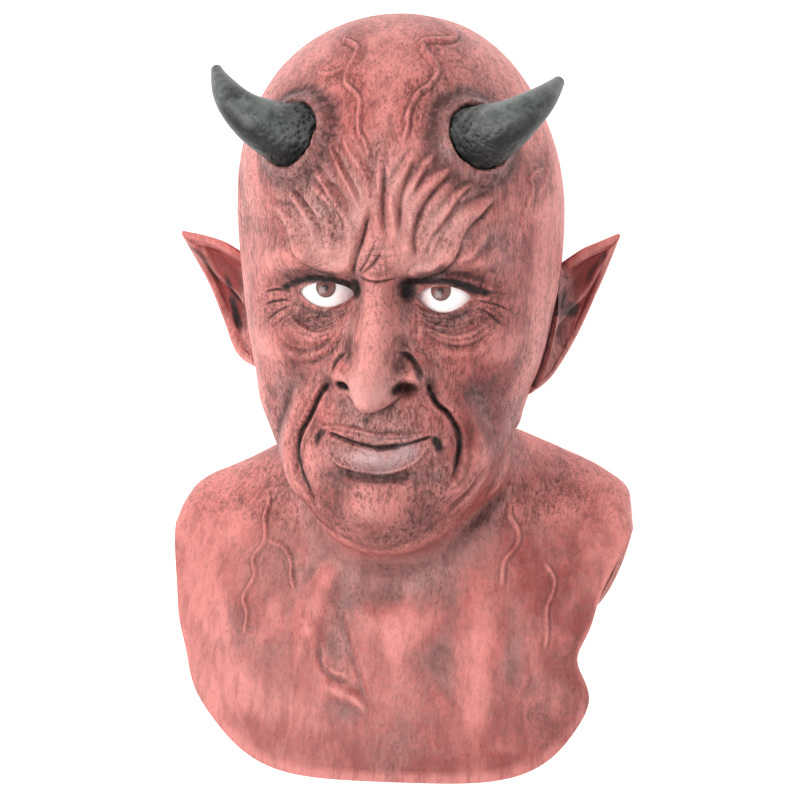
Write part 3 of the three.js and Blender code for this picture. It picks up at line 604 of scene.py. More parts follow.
def horn_distance(p, side):
    """Height above the socket's plane, and distance from the horn's axis."""
    base, up = HORN_FRAMES[side["name"]]
    height = (p - base) @ up
    return height, length(p - base - height[..., None] * up)


def seat_horn(p, side):
    """The forehead is level under the horn and swells into a collar with a thin lip round it."""
    height, away = horn_distance(p, side)
    level = 1 - smooth(HORN["base"] - 2, HORN["collar"] + 6, away)
    swell = HORN["rise"] * bell((away - HORN["collar"]) / HORN["rim"])
    torn = 0.7 + 0.5 * cloud(p, 7, 4) + 0.4 * cloud(p, 2.6, 8)
    lip = LIP["rise"] * torn * bell((away - LIP["at"] - LIP["wander"] * cloud(p, 9, 4)) / LIP["wide"])
    change = (-height * level + swell + lip) * (height > -40)
    p += change[..., None] * HORN_FRAMES[side["name"]][1]


print("horn sockets at", [np.round(base, 1).tolist() for base, _ in HORN_FRAMES.values()])

# %% The carved face
WANDER = 0.35  # how far a drawn line strays, in millimetres
ROPE_GUTTER = 0.22
CREASE_RIM = 0.12
VEIN_GUTTER = 0.3


def carved(turn, t):
    """The bare head, raised along its normal by mounds, folds and lumps, with nose and sockets."""
    p = bare(turn, t)
    normal = bare_normal(turn, t)
    flat = p[:, :2] + WANDER * np.stack([cloud(p, 12, 1), cloud(p, 12, 2)], -1)
    x, y = p[:, 0], p[:, 1]
    front = smooth(0, 0.3, np.cos(turn))
    rise = sum(mound_height(x, y, *mound) for mound in MOUNDS)
    rise = rise + sum(fold_height(flat, *rope, ROPE_GUTTER) for rope in ROPES)
    rise = rise - sum(fold_height(flat, *crease, CREASE_RIM) for crease in CREASES)
    rise = rise + sum(fold_height(flat, *vein, VEIN_GUTTER) for vein in VEINS)
    lumps = 0.55 * cloud(p, 26, 5) + 0.14 * cloud(p, 9, 6)
    p += (rise * front + lumps)[:, None] * normal
    lean = NOSE_LEAN["x"] * smooth(NOSE_LEAN["top"], NOSE_LEAN["bottom"], y)
    nose = nose_height(x - lean, y) * front
    tip = sum(mound_height(x, y, *mound) for mound in (BULB, WINGS, *NOSTRILS))
    p[:, 2] += nose + front * tip
    p[:, 1] -= NOSE["hook"] * (nose / NOSE["high"]) ** 2
    for side in SIDES:
        seat_eye(p, side)
        seat_horn(p, side)
    p[:, 2] = np.maximum(p[:, 2], GROUND_Z)
    return p


middle_line = carved(np.zeros(60), np.linspace(1, 6, 60))
print("the nose stands out to z", round(float(middle_line[:, 2].max())), "mm")

# %% [markdown]
# ## A mesh that is fine where it matters
# An even mesh would spend its faces on the plain back of the head. So the head is worked out on a
# fine lattice, and then four or sixteen of its cells are joined wherever the surface leaves the
# flat of the larger cell by less than a hair. Creases keep the smallest cells.

# %% The lattice
COLUMNS = 576
FACE_COLUMNS = 320
FACE_TURN = 1.1
CROWN_ROWS = 144
FACE_ROWS = 272
NECK_ROWS = 168
ROWS = CROWN_ROWS + FACE_ROWS + NECK_ROWS
FACE_STATIONS = (1, 6)
OUTER_CELL = 4
INNER_CELL = 8
HAIR = 0.1


def turns():
    """The turn of each column: close together across the face and further apart behind."""
    c = (np.arange(COLUMNS) + COLUMNS // 2) % COLUMNS - COLUMNS // 2
    face = FACE_COLUMNS / 2
    inside = np.minimum(np.abs(c), face) / face * FACE_TURN
    beyond = np.maximum(np.abs(c) - face, 0) / (COLUMNS / 2 - face) * (np.pi - FACE_TURN)
    return np.sign(c) * (inside + beyond)


def stations():
    """The station of each row: evenly down the crown, the face and the neck."""
    crown = np.linspace(0, FACE_STATIONS[0], CROWN_ROWS, endpoint=False)
    face = np.linspace(*FACE_STATIONS, FACE_ROWS, endpoint=False)
    neck = np.linspace(FACE_STATIONS[1], LAST, NECK_ROWS + 1)
    return np.concatenate([crown, face, neck])


TURN, STATION = np.meshgrid(turns(), stations(), indexing="ij")
outer = carved(TURN.ravel(), STATION.ravel()).reshape(COLUMNS, ROWS + 1, 3)
print("lattice of", COLUMNS, "by", ROWS, "cells")


# %% The inner face of the skin
def inner_face():
    """A wall's thickness inside the deepest carving within one inner cell all round."""
    smooth_head = bare(TURN, STATION)
    normal = bare_normal(TURN, STATION)
    normal[:, 0] = (0, 1, 0)
    depth = ((smooth_head - outer) * normal).sum(-1)
    deepest = depth.copy()
    for shift in range(1, INNER_CELL + 1):
        for way in (-shift, shift):
            deepest = np.maximum(deepest, np.roll(depth, way, axis=0))
    depth = deepest.copy()
    for shift in range(1, INNER_CELL + 1):
        depth[:, shift:] = np.maximum(depth[:, shift:], deepest[:, :-shift])
        depth[:, :-shift] = np.maximum(depth[:, :-shift], deepest[:, shift:])
    p = smooth_head - (depth + WALL)[..., None] * normal
    p[..., 2] = np.maximum(p[..., 2], GROUND_Z + WALL)
    p[:, -1, 1] = outer[:, -1, 1]
    return p


inner = inner_face()
print("inside of the head", np.round(np.ptp(inner.reshape(-1, 3), axis=0)), "mm")

# %% How far a cell bulges, and which cells to split
CORNERS = ((0, 0), (0, 1), (1, 1), (1, 0))


def bulge(points, corner, size):
    """The most that a cell's lattice points leave the flat of its four corners."""
    c, r = corner.T
    a, b, d, e = (points[(c + i * size) % COLUMNS, r + j * size] for i, j in CORNERS)
    normal = unit(np.cross(d - a, e - b))
    most = np.zeros(len(corner))
    for i, j in np.ndindex(size + 1, size + 1):
        flat = mix(mix(a, e, i / size), mix(b, d, i / size), j / size)
        here = points[(c + i) % COLUMNS, r + j]
        most = np.maximum(most, np.abs(((here - flat) * normal).sum(-1)))
    return most


def cells(points, largest, smallest):
    """Cells by size: a cell is split in four while it bulges by more than a hair."""
    c, r = np.meshgrid(np.arange(0, COLUMNS, largest), np.arange(0, ROWS, largest), indexing="ij")
    corner = np.stack([c.ravel(), r.ravel()], -1)
    found = []
    size = largest
    while size > smallest:
        split = bulge(points, corner, size) > HAIR
        found.append((corner[~split], size))
        size //= 2
        quarter = size * np.array([[0, 0], [1, 0], [0, 1], [1, 1]])
        corner = (corner[split][:, None] + quarter).reshape(-1, 2)
    found.append((corner, size))
    return found


outer_cells = cells(outer, OUTER_CELL, 1)
inner_cells = cells(inner, INNER_CELL, INNER_CELL)
print("cells outside, by size:", {size: len(corner) for corner, size in outer_cells})


# %% Weave the cells into triangles
def weave(found, number):
    """Triangles of the cells. A cell with smaller neighbours is fanned out from its middle."""
    used = np.zeros((COLUMNS, ROWS + 1), bool)
    used[:, ROWS] = True
    for corner, size in found:
        for i, j in CORNERS:
            used[(corner[:, 0] + i * size) % COLUMNS, corner[:, 1] + j * size] = True
    made = []
    for corner, size in found:
        k = range(size)
        loop = [(0, i) for i in k] + [(i, size) for i in k]
        loop += [(size, size - i) for i in k] + [(size - i, 0) for i in k]
        at = [((corner[:, 0] + i) % COLUMNS, corner[:, 1] + j) for i, j in loop]
        ids = np.stack([number[a] for a in at], -1)
        on = np.stack([used[a] for a in at], -1)
        plain = on.sum(1) == 4
        a, b, c, d = ids[plain][:, ::size].T
        made += [np.stack([a, b, c], -1), np.stack([a, c, d], -1)]
        half = size // 2
        middle = number[(corner[:, 0] + half) % COLUMNS, corner[:, 1] + half]
        follow = ids[:, 0]
        for i in reversed(range(len(loop))):
            here = on[:, i]
            made.append(np.stack([middle, ids[:, i], follow], -1)[here & ~plain])
            follow = np.where(here, ids[:, i], follow)
    return np.concatenate(made)


number = np.arange(COLUMNS * (ROWS + 1)).reshape(COLUMNS, ROWS + 1)
number[:, 0] = number[0, 0]
outer_faces = weave(outer_cells, number)
inner_faces = weave(inner_cells, number)[:, ::-1] + number.size
print("woven:", len(outer_faces), "triangles outside and", len(inner_faces), "inside")


# %% Close the shell
def skin_shell():
    """Outer and inner face, closed along the cut edge of the bib, and which triangles are inside."""
    a = number[:, -1]
    b = np.roll(a, -1)
    c, d = a + number.size, b + number.size
    rim = np.concatenate([np.stack([a, c, b], -1), np.stack([b, c, d], -1)])
    triangles = np.concatenate([outer_faces, inner_faces, rim])
    lining = np.arange(len(triangles)) >= len(outer_faces)
    same = (triangles == np.roll(triangles, 1, axis=1)).any(1)
    triangles, lining = triangles[~same], lining[~same]
    kept, triangles = np.unique(triangles, return_inverse=True)
    points = np.concatenate([outer.reshape(-1, 3), inner.reshape(-1, 3)])[kept]
    return points, outward(points, triangles.reshape(-1, 3)), lining


shell_points, shell_faces, shell_lining = skin_shell()
print("skin shell:", len(shell_faces), "triangles,", int(shell_lining.sum()), "of them inside")

# %% [markdown]
# ## Ears
# Each ear is a cupped leaf of latex: its root runs up the side of the head, and its rim runs from
# the lobe out to the point and back. A second ridge inside the rim and a deep hollow between them
# and the head give the shell of a real ear.

# %% Root and rim of an ear
EAR_ALONG = 96
EAR_ACROSS = 30
ROOT_STATIONS = (2, 5)
RIM_INSET = 2


def ear_root(side, u):
    """The root's curve on the side of the head, just under the skin, from lobe to top."""
    down = np.linspace(*ROOT_STATIONS, 200)
    t = np.interp(-mix(side["lobe"], side["top"], u), -through(STATIONS[:, 1], down - 1), down)
    turn = np.pi / 2 + mix(*EAR_ROOT_TURN, u)
    return bare(turn, t) - EAR["sunk"] * bare_normal(turn, t)


def ear_rim(side, u):
    """The rim's curve out to the point and back, smooth on both sides of the point."""
    tip = np.array(side["ear_tip"], float)
    out, up, share, depth = np.array(LOWER_RIM).T
    out = mix(EAR_FOOT[0], tip[0], out) + share * side["belly"] + side["lobe_out"] * np.array([1, 0, 0])
    top_out, top_up, top_depth = UPPER_RIM
    lower = np.array([
        ear_root(side, np.array(0.0)) + (RIM_INSET, -RIM_INSET, 0),
        *np.stack([out, mix(side["lobe"], tip[1], up), depth], -1),
        tip,
    ])
    upper = np.array([
        tip,
        (mix(EAR_FOOT[1], tip[0], top_out), mix(side["top"], tip[1], top_up), top_depth),
        ear_root(side, np.array(1.0)) + (RIM_INSET, RIM_INSET, 0),
    ])
    turning = EAR["tip_at"]
    low = through(lower, np.clip(u / turning, 0, 1) * (len(lower) - 1))
    high = through(upper, np.clip((u - turning) / (1 - turning), 0, 1) * (len(upper) - 1))
    return np.where((u < turning)[..., None], low, high)


print("ears reach", [round(side["sign"] * side["ear_tip"][0]) for side in SIDES], "mm out")


# %% Relief of an ear
def ear_relief(u, v):
    """What stands out of the front face, and what is hollow.

    A ridge runs from the point down to the root, with a groove outside it and a bump for the lobe.
    Below the ridge lie the shallow hollow and the deep shell.
    """
    body = np.maximum(np.sin(np.pi * u), 0)
    off = u - 0.46 - 0.26 * v
    ridge = 3.2 * body * bell(off / 0.06) * smooth(0.02, 0.2, v) * smooth(1.0, 0.8, v)
    groove = 1.8 * bell((v - 0.78) / 0.07) * smooth(0.3, 0.5, u) * smooth(0.76, 0.68, u)
    lobe = 1.2 * bell(np.hypot((u - 0.07) / 0.06, (v - 0.5) / 0.3))
    above = 4.5 * smooth(0.04, 0.14, off) * bell((v - 0.35) / 0.3) * body
    shell = 8 * bell(np.hypot((u - 0.42) / 0.11, (v - 0.36) / 0.18))
    return ridge - groove + lobe, above + shell


ridge_there, _ = ear_relief(np.array(0.59), np.array(0.5))
print("half-way out the ridge stands", round(float(ridge_there), 1), "mm")

# %% Ears
ROOT_FLARE = 3.0


def ear_rings(side):
    """Leaf rings: root and rim are curves of u, and the middle sheet sags between them as a sine.

    The front face stands half the thickness before the sheet and the back face behind it. The rim
    rolls over, and the root flares into the head.
    """
    def middle(u, v):
        """A point of the middle sheet, at u along the rim and v from the root to the rim"""
        p = mix(ear_root(side, u), ear_rim(side, u), v[..., None])
        p[..., 2] -= EAR["cup"] * np.sin(np.pi * v) * np.maximum(np.sin(np.pi * u), 0) ** 0.7
        return p

    u, v = np.meshgrid(np.linspace(0, 1, EAR_ALONG), np.linspace(0, 1, EAR_ACROSS), indexing="ij")
    e = 0.02
    a = middle(np.minimum(u + e, 1), v) - middle(np.maximum(u - e, 0), v)
    b = middle(u, np.minimum(v + e, 1)) - middle(u, np.maximum(v - e, 0))
    normal = unit(np.cross(b, a))
    sheet = middle(u, v)
    thick = EAR["thick"] * (0.5 + 0.5 * np.sqrt(1 - v**2))
    thick = thick + EAR["roll"] * bell((v - EAR["roll_at"]) / EAR["roll_wide"])
    raised, hollow = ear_relief(u, v)
    flare = ROOT_FLARE * bell(v / 0.1)
    front = sheet + normal * (thick / 2 + raised - hollow * 0.5 + flare)[..., None]
    back = sheet - normal * (thick / 2 + hollow * 0.4 + flare)[..., None]
    rings = np.concatenate([front, back[:, ::-1]], axis=1)
    return rings * (side["sign"], 1, 1)


ears = [tube(ear_rings(side)) for side in SIDES]
print("each ear has", len(ears[0][1]), "triangles")

# %% [markdown]
# ## Horns
# A horn is a round section carried along a bending line. It narrows evenly and ends in a blunt
# point. The foot is rough, as if it had broken through the skin, and the rest is smooth resin.

# %% Horns
HORN_SIDES = 128
HORN_STEPS = 170


def horn_rings(side, extra, steps, sides, rough):
    """Rings round a quadratic curve from the socket to the tip, spaced evenly along it."""
    base, up = HORN_FRAMES[side["name"]]
    mirror = np.array([side["sign"], 1, 1])
    start = base - up * (HORN["sunk"] + extra)
    bend = base + np.array(side["horn"][1]) * mirror
    tip = np.array(side["horn"][2]) * mirror
    fine = np.linspace(0, 1, 400)[:, None]
    curve = (1 - fine) ** 2 * start + 2 * fine * (1 - fine) * bend + fine**2 * tip
    run = np.concatenate([[0], np.cumsum(length(np.diff(curve, axis=0)))])
    run /= run[-1]
    along = np.linspace(0, 1, steps)
    s = np.interp(along, run, fine[:, 0])[:, None]
    centre = (1 - s) ** 2 * start + 2 * s * (1 - s) * bend + s**2 * tip
    tangent = unit((1 - s) * (bend - start) + s * (tip - bend))
    aside = unit(np.cross(bend - start, tip - start))
    across = np.cross(aside, tangent)
    round_end = np.linspace(0, np.pi / 2, 9)[1:-1]
    radius = mix(HORN["base"], HORN["tip"], along ** HORN["narrowing"]) + extra
    end = radius[-1]
    centre = np.concatenate([centre, tip + tangent[-1] * (end * np.sin(round_end))[:, None]])
    across = np.concatenate([across, np.repeat(across[-1:], len(round_end), 0)])
    radius = np.concatenate([radius, end * np.cos(round_end)])
    along = np.concatenate([along, np.ones(len(round_end))])
    angle = np.linspace(0, 2 * np.pi, sides, endpoint=False)
    out = across[:, None] * np.cos(angle)[:, None] + aside * np.sin(angle)[:, None]
    p = centre[:, None] + out * radius[:, None, None]
    if rough:
        foot = bell(along / 0.32)[:, None]
        pits = np.minimum(cloud(p, 1.6, 11), 0.1) * 1.3 + cloud(p, 4, 12) * 0.8
        dents = 0.45 * cloud(p, 14, 13)
        p += out * (foot * pits + dents * smooth(0.02, 0.1, along)[:, None])[..., None]
    return p


horns = {side["name"]: tube(horn_rings(side, 0, HORN_STEPS, HORN_SIDES, True)) for side in SIDES}
print("each horn has", len(horns["left"][1]), "triangles")

# %% [markdown]
# ## Cutting the openings
# The sockets of the horns, the pockets behind the lids and the almonds between them are cut out of
# the skin as solids, which keeps the wall closed and gives the lids their thickness. The ears are
# joined on the same way.


# %% Cutters
def ball_centre(side):
    """The middle of the ball of an eye"""
    return np.array([side["sign"] * side["eye"][0], side["eye"][1], BALL["z"]])


def ball_rings(radius, low, steps, sides):
    """Rings of a ball from an angle below its middle up to its pole, about the Z axis."""
    angle = np.linspace(low, np.pi / 2, steps)[:-1, None]
    turn = np.linspace(0, 2 * np.pi, sides, endpoint=False)
    flat = radius * np.cos(angle)
    return np.stack([flat * np.cos(turn), flat * np.sin(turn), radius * np.sin(angle) + 0 * turn], -1)


def almond_rings(side):
    """The outline of the open lids, a sine bowed up and one bowed down, carried straight out."""
    inner_end, outer_end, up, down = side["almond"]
    f = np.linspace(0, 1, 40, endpoint=False)
    bow = np.sin(np.pi * f)
    upper = np.stack([mix(-inner_end, outer_end, f), up * bow ** LID_BOW["up"]], -1)
    lower = np.stack([mix(outer_end, -inner_end, f), -down * bow ** LID_BOW["down"]], -1)
    outline = np.concatenate([upper, lower]) * (side["sign"], 1)
    rings = [np.column_stack([outline, np.full(len(outline), z)]) for z in (0.0, 60.0)]
    return np.array(rings) + ball_centre(side)


print("pockets for the eyes are", round(BALL["radius"] + GAP, 2), "mm in radius")


# %% Cut and join
def boolean(piece, cutter, operation):
    """Cuts the second body from the first or joins it on, and removes it."""
    step = piece.modifiers.new("cut", "BOOLEAN")
    step.operation = operation
    step.solver = "MANIFOLD"
    step.object = cutter
    graph = bpy.context.evaluated_depsgraph_get()
    made = bpy.data.meshes.new_from_object(piece.evaluated_get(graph))
    piece.modifiers.clear()
    piece.data = made
    bpy.data.objects.remove(cutter)


print("before the cuts:", len(shell_faces), "triangles")

# %% The skin in one piece
shell = make_mesh("latex_skin", shell_points, shell_faces)
for name in ("paint", "lining"):
    shell.materials.append(bpy.data.materials.new(name))
shell.polygons.foreach_set("material_index", shell_lining.astype(np.int32))
skin = make_object("latex_skin", shell)
for points, faces in ears:
    boolean(skin, make_object("cutter", make_mesh("cutter", points, faces)), "UNION")
for side in SIDES:
    pocket = ball_rings(BALL["radius"] + GAP, -np.pi / 2 + 0.01, 40, 64) + ball_centre(side)
    for rings in (horn_rings(side, GAP, 40, 48, False), pocket, almond_rings(side)):
        points, faces = tube(rings)
        boolean(skin, make_object("cutter", make_mesh("cutter", points, faces)), "DIFFERENCE")
print("skin:", len(skin.data.vertices), "points,", len(skin.data.polygons), "faces")

# %% [markdown]
# ## Where the paint lies
# The painter's steps are told apart as masks, one number per point. Dark wash runs into every
# crease, so it follows how deep a point lies below its smoothed surroundings, and in the broad
# hollows it adds painted shade. A dry brush catches what stands out, and there it is also a painted
# highlight. Grey and deep red patches, and the painted lines, have places of their own. Some of the
# lines and dusky patches, and the dark in the nostrils, are painted shadow.


# %% Read the mesh back and feel how hollow it is
def read_mesh(mesh):
    """A mesh's points in millimetres from the middle of the head, its normals and its edges."""
    points = np.empty(3 * len(mesh.vertices), np.float32)
    mesh.vertices.foreach_get("co", points)
    normals = np.empty(3 * len(mesh.vertices), np.float32)
    mesh.vertex_normals.foreach_get("vector", normals)
    edges = np.empty(2 * len(mesh.edges), np.int32)
    mesh.edges.foreach_get("vertices", edges)
    return points.reshape(-1, 3) * 1000.0 - MIDDLE, normals.reshape(-1, 3), edges.reshape(-1, 2)


def neighbour_mean(values, edges, count):
    """Each point's mean over the points that an edge joins it to."""
    a, b = edges.T
    share = np.bincount(a, minlength=count) + np.bincount(b, minlength=count)
    total = [
        np.bincount(a, v[b], count) + np.bincount(b, v[a], count)
        for v in np.atleast_2d(values.T)
    ]
    return (np.array(total) / np.maximum(share, 1)).T.reshape(values.shape)


def hollowness(points, normals, edges, rounds):
    """How far the smoothed surface stands above each point, positive in creases, in millimetres."""
    soft = points.copy()
    for _ in range(rounds):
        soft = mix(soft, neighbour_mean(soft, edges, len(points)), 0.6)
    return ((soft - points) * normals).sum(-1)


skin_points, skin_normals, skin_edges = read_mesh(skin.data)
fine_hollow = hollowness(skin_points, skin_normals, skin_edges, 5)
wide_hollow = hollowness(skin_points, skin_normals, skin_edges, 45)
print("creases up to", round(float(wide_hollow.max()), 2), "mm deep")

# %% Clouds of colour, seen from in front: place, half size and strength
# greyish veils on the ropes, the cheeks and the chest
GREY = [
    (-14, -5, 13, 3, 1.0), (10, -8.4, 15, 2.6, 1.0), (-28, 110, 13, 12, 0.8), (-49, 99, 9, 9, 0.55),
    (32, 102, 9, 14, 0.5), (53, 98, 13, 12, 0.7), (1, 140, 6, 30, 0.45), (-33, 53, 15, 6, 0.5),
    (37, 53, 15, 7, 0.95), (9, 0, 19, 7, 0.55), (-18, 4, 10, 8, 0.3), (3, -32, 19, 5, 0.85),
    (3, -62, 20, 5, 0.6), (-31, -26, 9, 12, 0.45), (30, -26, 9, 12, 0.5), (-20, -102, 15, 14, 0.85),
    (24, -93, 13, 13, 0.8), (-25, -132, 9, 14, 0.75), (-19, -165, 11, 7, 0.75),
    (16, -137, 12, 15, 0.5), (-58, -85, 9, 11, 0.55), (-89, -126, 14, 13, 0.55),
    (84, -154, 12, 16, 0.5), (5, -187, 18, 9, 0.35), (-58, 22, 6, 26, 0.4), (64, 82, 8, 18, 0.4),
    (30, 33, 10, 9, 0.5), (72, -30, 20, 14, 0.35), (-38, 130, 14, 7, 0.6),
]
# deep red beside the nose, round the bib and on the temples
RED = [
    (44, 31, 10, 7, 1.0), (52, -1, 15, 30, 0.95), (-2, 15, 9, 6, 0.8), (92, -176, 34, 26, 0.8),
    (-4, -48, 13, 6, 0.9), (-40, -186, 60, 14, 0.5), (46, 22, 10, 6, 0.7), (-53, 14, 12, 17, 0.75),
    (74, 50, 14, 44, 0.8), (54, 86, 13, 6, 0.6), (-30, 24, 10, 5, 0.5), (70, 140, 18, 30, 0.55),
    (40, -44, 16, 14, 0.6), (0, -205, 110, 22, 0.9), (-80, -170, 30, 22, 0.6),
    (96, -40, 26, 14, 0.75), (104, -160, 14, 40, 0.8), (80, -100, 30, 26, 0.45),
    (12, 180, 34, 20, 0.4), (-60, 96, 8, 12, 0.35), (-62, -150, 12, 10, 0.5), (30, -70, 16, 7, 0.6),
    (96, 84, 9, 14, 0.9), (-96, 76, 8, 16, 0.8),
]
# clean coral on the ropes, the nose and the sides of the chest. The long patch down the bridge of the
# nose is also a painted highlight.
CORAL = [
    (-23, 85, 17, 6, 0.95), (21, 81, 14, 7, 0.95), (-40, 92, 6, 10, 0.7), (40, 96, 6, 12, 0.7),
    (-60, 12, 8, 24, 0.6), (-46, -30, 8, 18, 0.6), (-1, 50, 8, 32, 0.9), (-4, -44, 13, 5, 0.5),
    (-48, -118, 9, 34, 0.8), (50, -130, 9, 45, 0.9), (-2, 24, 9, 12, 0.8), (-88, -90, 20, 30, 0.5),
    (-60, 50, 9, 50, 0.5), (0, 172, 30, 24, 0.5), (-44, -62, 16, 12, 0.5), (-96, -60, 22, 12, 0.4),
    (0, -80, 36, 8, 0.4),
]
print("clouds:", len(GREY), "grey,", len(RED), "red and", len(CORAL), "coral")

# %% Clean, dusky and dull patches, the lips and the bags of the eyes, with painted highlight and shadow
# light, hardly washed: the ropes of the brow, the bridge of the nose and the chin. On the bridge of the
# nose it is also a painted highlight.
CLEAN = [
    (-1, 50, 9, 34, 0.35), (-24, 86, 16, 10, 0.9), (24, 86, 14, 10, 0.9), (-12, 112, 8, 22, 0.8),
    (14, 116, 12, 24, 0.8), (-36, 104, 12, 14, 0.7), (36, 106, 12, 14, 0.7),
    (-5, -45, 11, 5.5, 0.5), (0, -17, 24, 9, 0.5), (0, 24, 20, 10, 0.8),
]
# dark and smoky: beside the nose, under the mouth, at the temples and the edge of the bib. The bands
# under the brows, the inner corners of the eyes, the sides of the nose's bridge and the band under the
# lip are painted shadow.
SMOKE_AND_SHADE = [
    (-25, -46, 10, 13, 0.6), (20, -48, 11, 12, 0.7), (45, 18, 12, 9, 0.9), (-46, 30, 10, 10, 0.65),
    (-3, -54, 22, 14, 0.6), (-1, -6.5, 24, 3, 0.55), (84, 60, 10, 40, 0.3), (37, 52, 15, 5, 0.25),
    (0, -31, 20, 6, 0.9), (-27, -33, 9, 8, 0.45), (25, -34, 9, 9, 0.6), (46, -14, 7, 20, 0.6),
    (16, 44, 4, 18, 0.3), (15, 72, 5, 9, 0.8), (-13, 72, 4, 8, 0.6), (-34, 78, 20, 3, 0.7),
    (36, 79, 20, 4, 0.7), (56, 86, 12, 8, 0.5), (20, 14, 6, 6, 0.35), (62, -4, 9, 26, 0.45),
    (66, 128, 12, 12, 0.5), (-60, 130, 10, 9, 0.5), (104, -130, 12, 50, 0.35),
    (-58, 4, 9, 10, 0.35), (90, -170, 26, 20, 0.35),
]
# where the dry brush is left out
DULL = [
    (-4, -55, 24, 13, 0.8), (48, 8, 16, 26, 0.5), (90, -150, 30, 40, 0.4),
]
LIPS = [
    (-12, -17, 11, 6, 1.0), (0, -18, 12, 7, 1.0), (12, -16, 11, 6, 1.0),
]
BAGS = [
    (-36, 54, 16, 8, 1.0), (37, 54, 16, 7, 1.0), (-60, 60, 9, 12, 0.8), (60, 60, 9, 12, 0.8),
    (0, 88, 9, 9, 0.7), (-34, 79, 18, 4, 0.7), (38, 79, 20, 4, 0.8), (-22, 100, 9, 14, 0.4),
    (24, 104, 10, 16, 0.4),
]
print("shades:", len(CLEAN), "clean and", len(SMOKE_AND_SHADE), "dusky patches")

# %% Lines painted nearly black, some of them painted shadow: half width, strength and path
# round the eyes, and the edges of the wings of the nose. The lines in the inner corners and the bands
# over the lids are painted shadow under the brow.
EYE_INK_AND_SHADOW = [
    (2.4, 1.0, [(-56, 68), (-47, 72.6), (-39.5, 75), (-25, 75), (-16, 71.6), (-12, 68)]),
    # painted shadow in the inner corner of the left eye
    (2.8, 1.0, [(-17, 75), (-12.5, 72), (-13, 65)]),
    (2.5, 1.0, [(11, 75), (20, 75), (30, 75), (39, 74), (50, 69.5), (59, 67)]),
    # painted shadow in the inner corner of the right eye
    (4.2, 1.0, [(14, 77), (15, 71), (16, 64)]),
    # bands of painted shadow under the brows
    (2.2, 0.6, [(-56, 76), (-46, 78.5), (-34, 79), (-20, 77)]),
    (2.4, 0.75, [(17, 78), (30, 79), (46, 78), (58, 72)]),
    (0.8, 0.7, [(-45, 62), (-38, 58.4), (-30, 57.4), (-20, 59), (-14, 63)]),
    (0.8, 0.7, [(18, 60.5), (25, 56.6), (34, 55.2), (42, 56.6), (48, 61)]),
    (1.0, 0.7, WING_EDGE[0]),
    (1.5, 0.85, WING_EDGE[1]),
]
FOOT_WIDTHS = (0.6, 0.6, 0.6, 0.7, 0.6)
EYE_INK_AND_SHADOW += [(wide, 0.85, foot) for wide, foot in zip(FOOT_WIDTHS, CROWS_FEET)]
# bags of the eyes, folds, mouth, brow, the groove under the nose, jaw and chest. The line under the
# right brow and the band under the lower lip are painted shadow.
FACE_INK_AND_SHADOW = [
    (0.6, 0.6, [(-48, 57), (-40, 53), (-31, 52), (-21, 56)]),
    (0.6, 0.6, [(-46, 53), (-38, 49), (-30, 48), (-20, 53)]),
    (0.6, 0.6, [(22, 56), (33, 51.5), (43, 52), (52, 58)]),
    (0.6, 0.6, [(24, 52), (35, 47.5), (45, 48), (54, 53)]),
    (1.15, 1.0, [(-25, 22), (-32, 14), (-38, 2), (-43, -7), (-44.5, -16), (-42, -27), (-36, -40)]),
    (1.25, 1.0, [(25, 24), (29, 12), (36, 4), (41, -5), (41.5, -14), (39, -27)]),
    (3.0, 0.7, [(-26, 26), (-28, 20), (-31, 15)]),
    (2.6, 0.7, [(26, 26), (28, 18), (30, 12)]),
    (0.8, 0.8, MOUTH),
    (1.5, 0.8, [(-2, -12), (6, -11.8), (14, -10.8)]),
    (2.0, 0.85, MOUTH_CORNER),
    (2.2, 0.95, [(27, -7), (31, -10), (32, -16)]),
    # painted shadow under the lower lip
    (2.6, 0.5, [(-22, -26), (-8, -28.6), (8, -28.6), (20, -26)]),
    (0.8, 0.75, [(-4, 110), (-6, 101), (-8, 94), (-11, 85), (-14, 77)]),
    (0.6, 0.7, FROWN[0]),
    (0.6, 0.7, FROWN[1]),
    # painted shadow under the right brow
    (1.8, 0.7, [(12, 79), (19, 77), (30, 80), (37, 87)]),
    (0.6, 0.6, ACROSS_ROOT),
    (1.6, 0.7, [(-4.5, 5.5), (-6, 1.5), (-6, -2)]),
    (1.5, 0.4, [(-47, -38), (-36, -55), (-16, -65), (-2, -69), (15, -64), (32, -52), (48, -36)]),
    (0.8, 0.2, [(-28, -112), (-24, -122), (-20, -134), (-15, -148)]),
    (0.8, 0.2, [(-40, -130), (-38, -139), (-30, -146)]),
]
INK_AND_SHADOW = EYE_INK_AND_SHADOW + FACE_INK_AND_SHADOW
# the ears have lines of their own, which stay on their front
EAR_INK = [
    (1.7, 0.7, [(115, 84.5), (109, 77), (104, 69.5), (101, 62)]),
    (3.4, 0.95, [(96, 55), (94, 50), (92, 44)]),
    (2.4, 0.85, [(90, 63), (87, 52), (85, 43)]),
    (1.5, 0.7, [(-126, 84), (-118, 77.5), (-113.5, 69), (-108, 59)]),
    (2.3, 0.95, [(-103, 56), (-101, 52), (-98, 44), (-93, 34.5)]),
    (1.9, 0.85, [(-104, 68), (-101, 59), (-94.5, 49.5)]),
]
print(len(INK_AND_SHADOW), "lines on the face and", len(EAR_INK), "in the ears")


# %% Masks from patches and lines
def wandering(p):
    """x and y of the points, moved by clouds, so that a patch has no clean edge."""
    x = p[:, 0] + 6 * cloud(p, 22, 21) + 2.5 * cloud(p, 7, 22)
    y = p[:, 1] + 6 * cloud(p, 22, 23) + 2.5 * cloud(p, 7, 24)
    return x, y


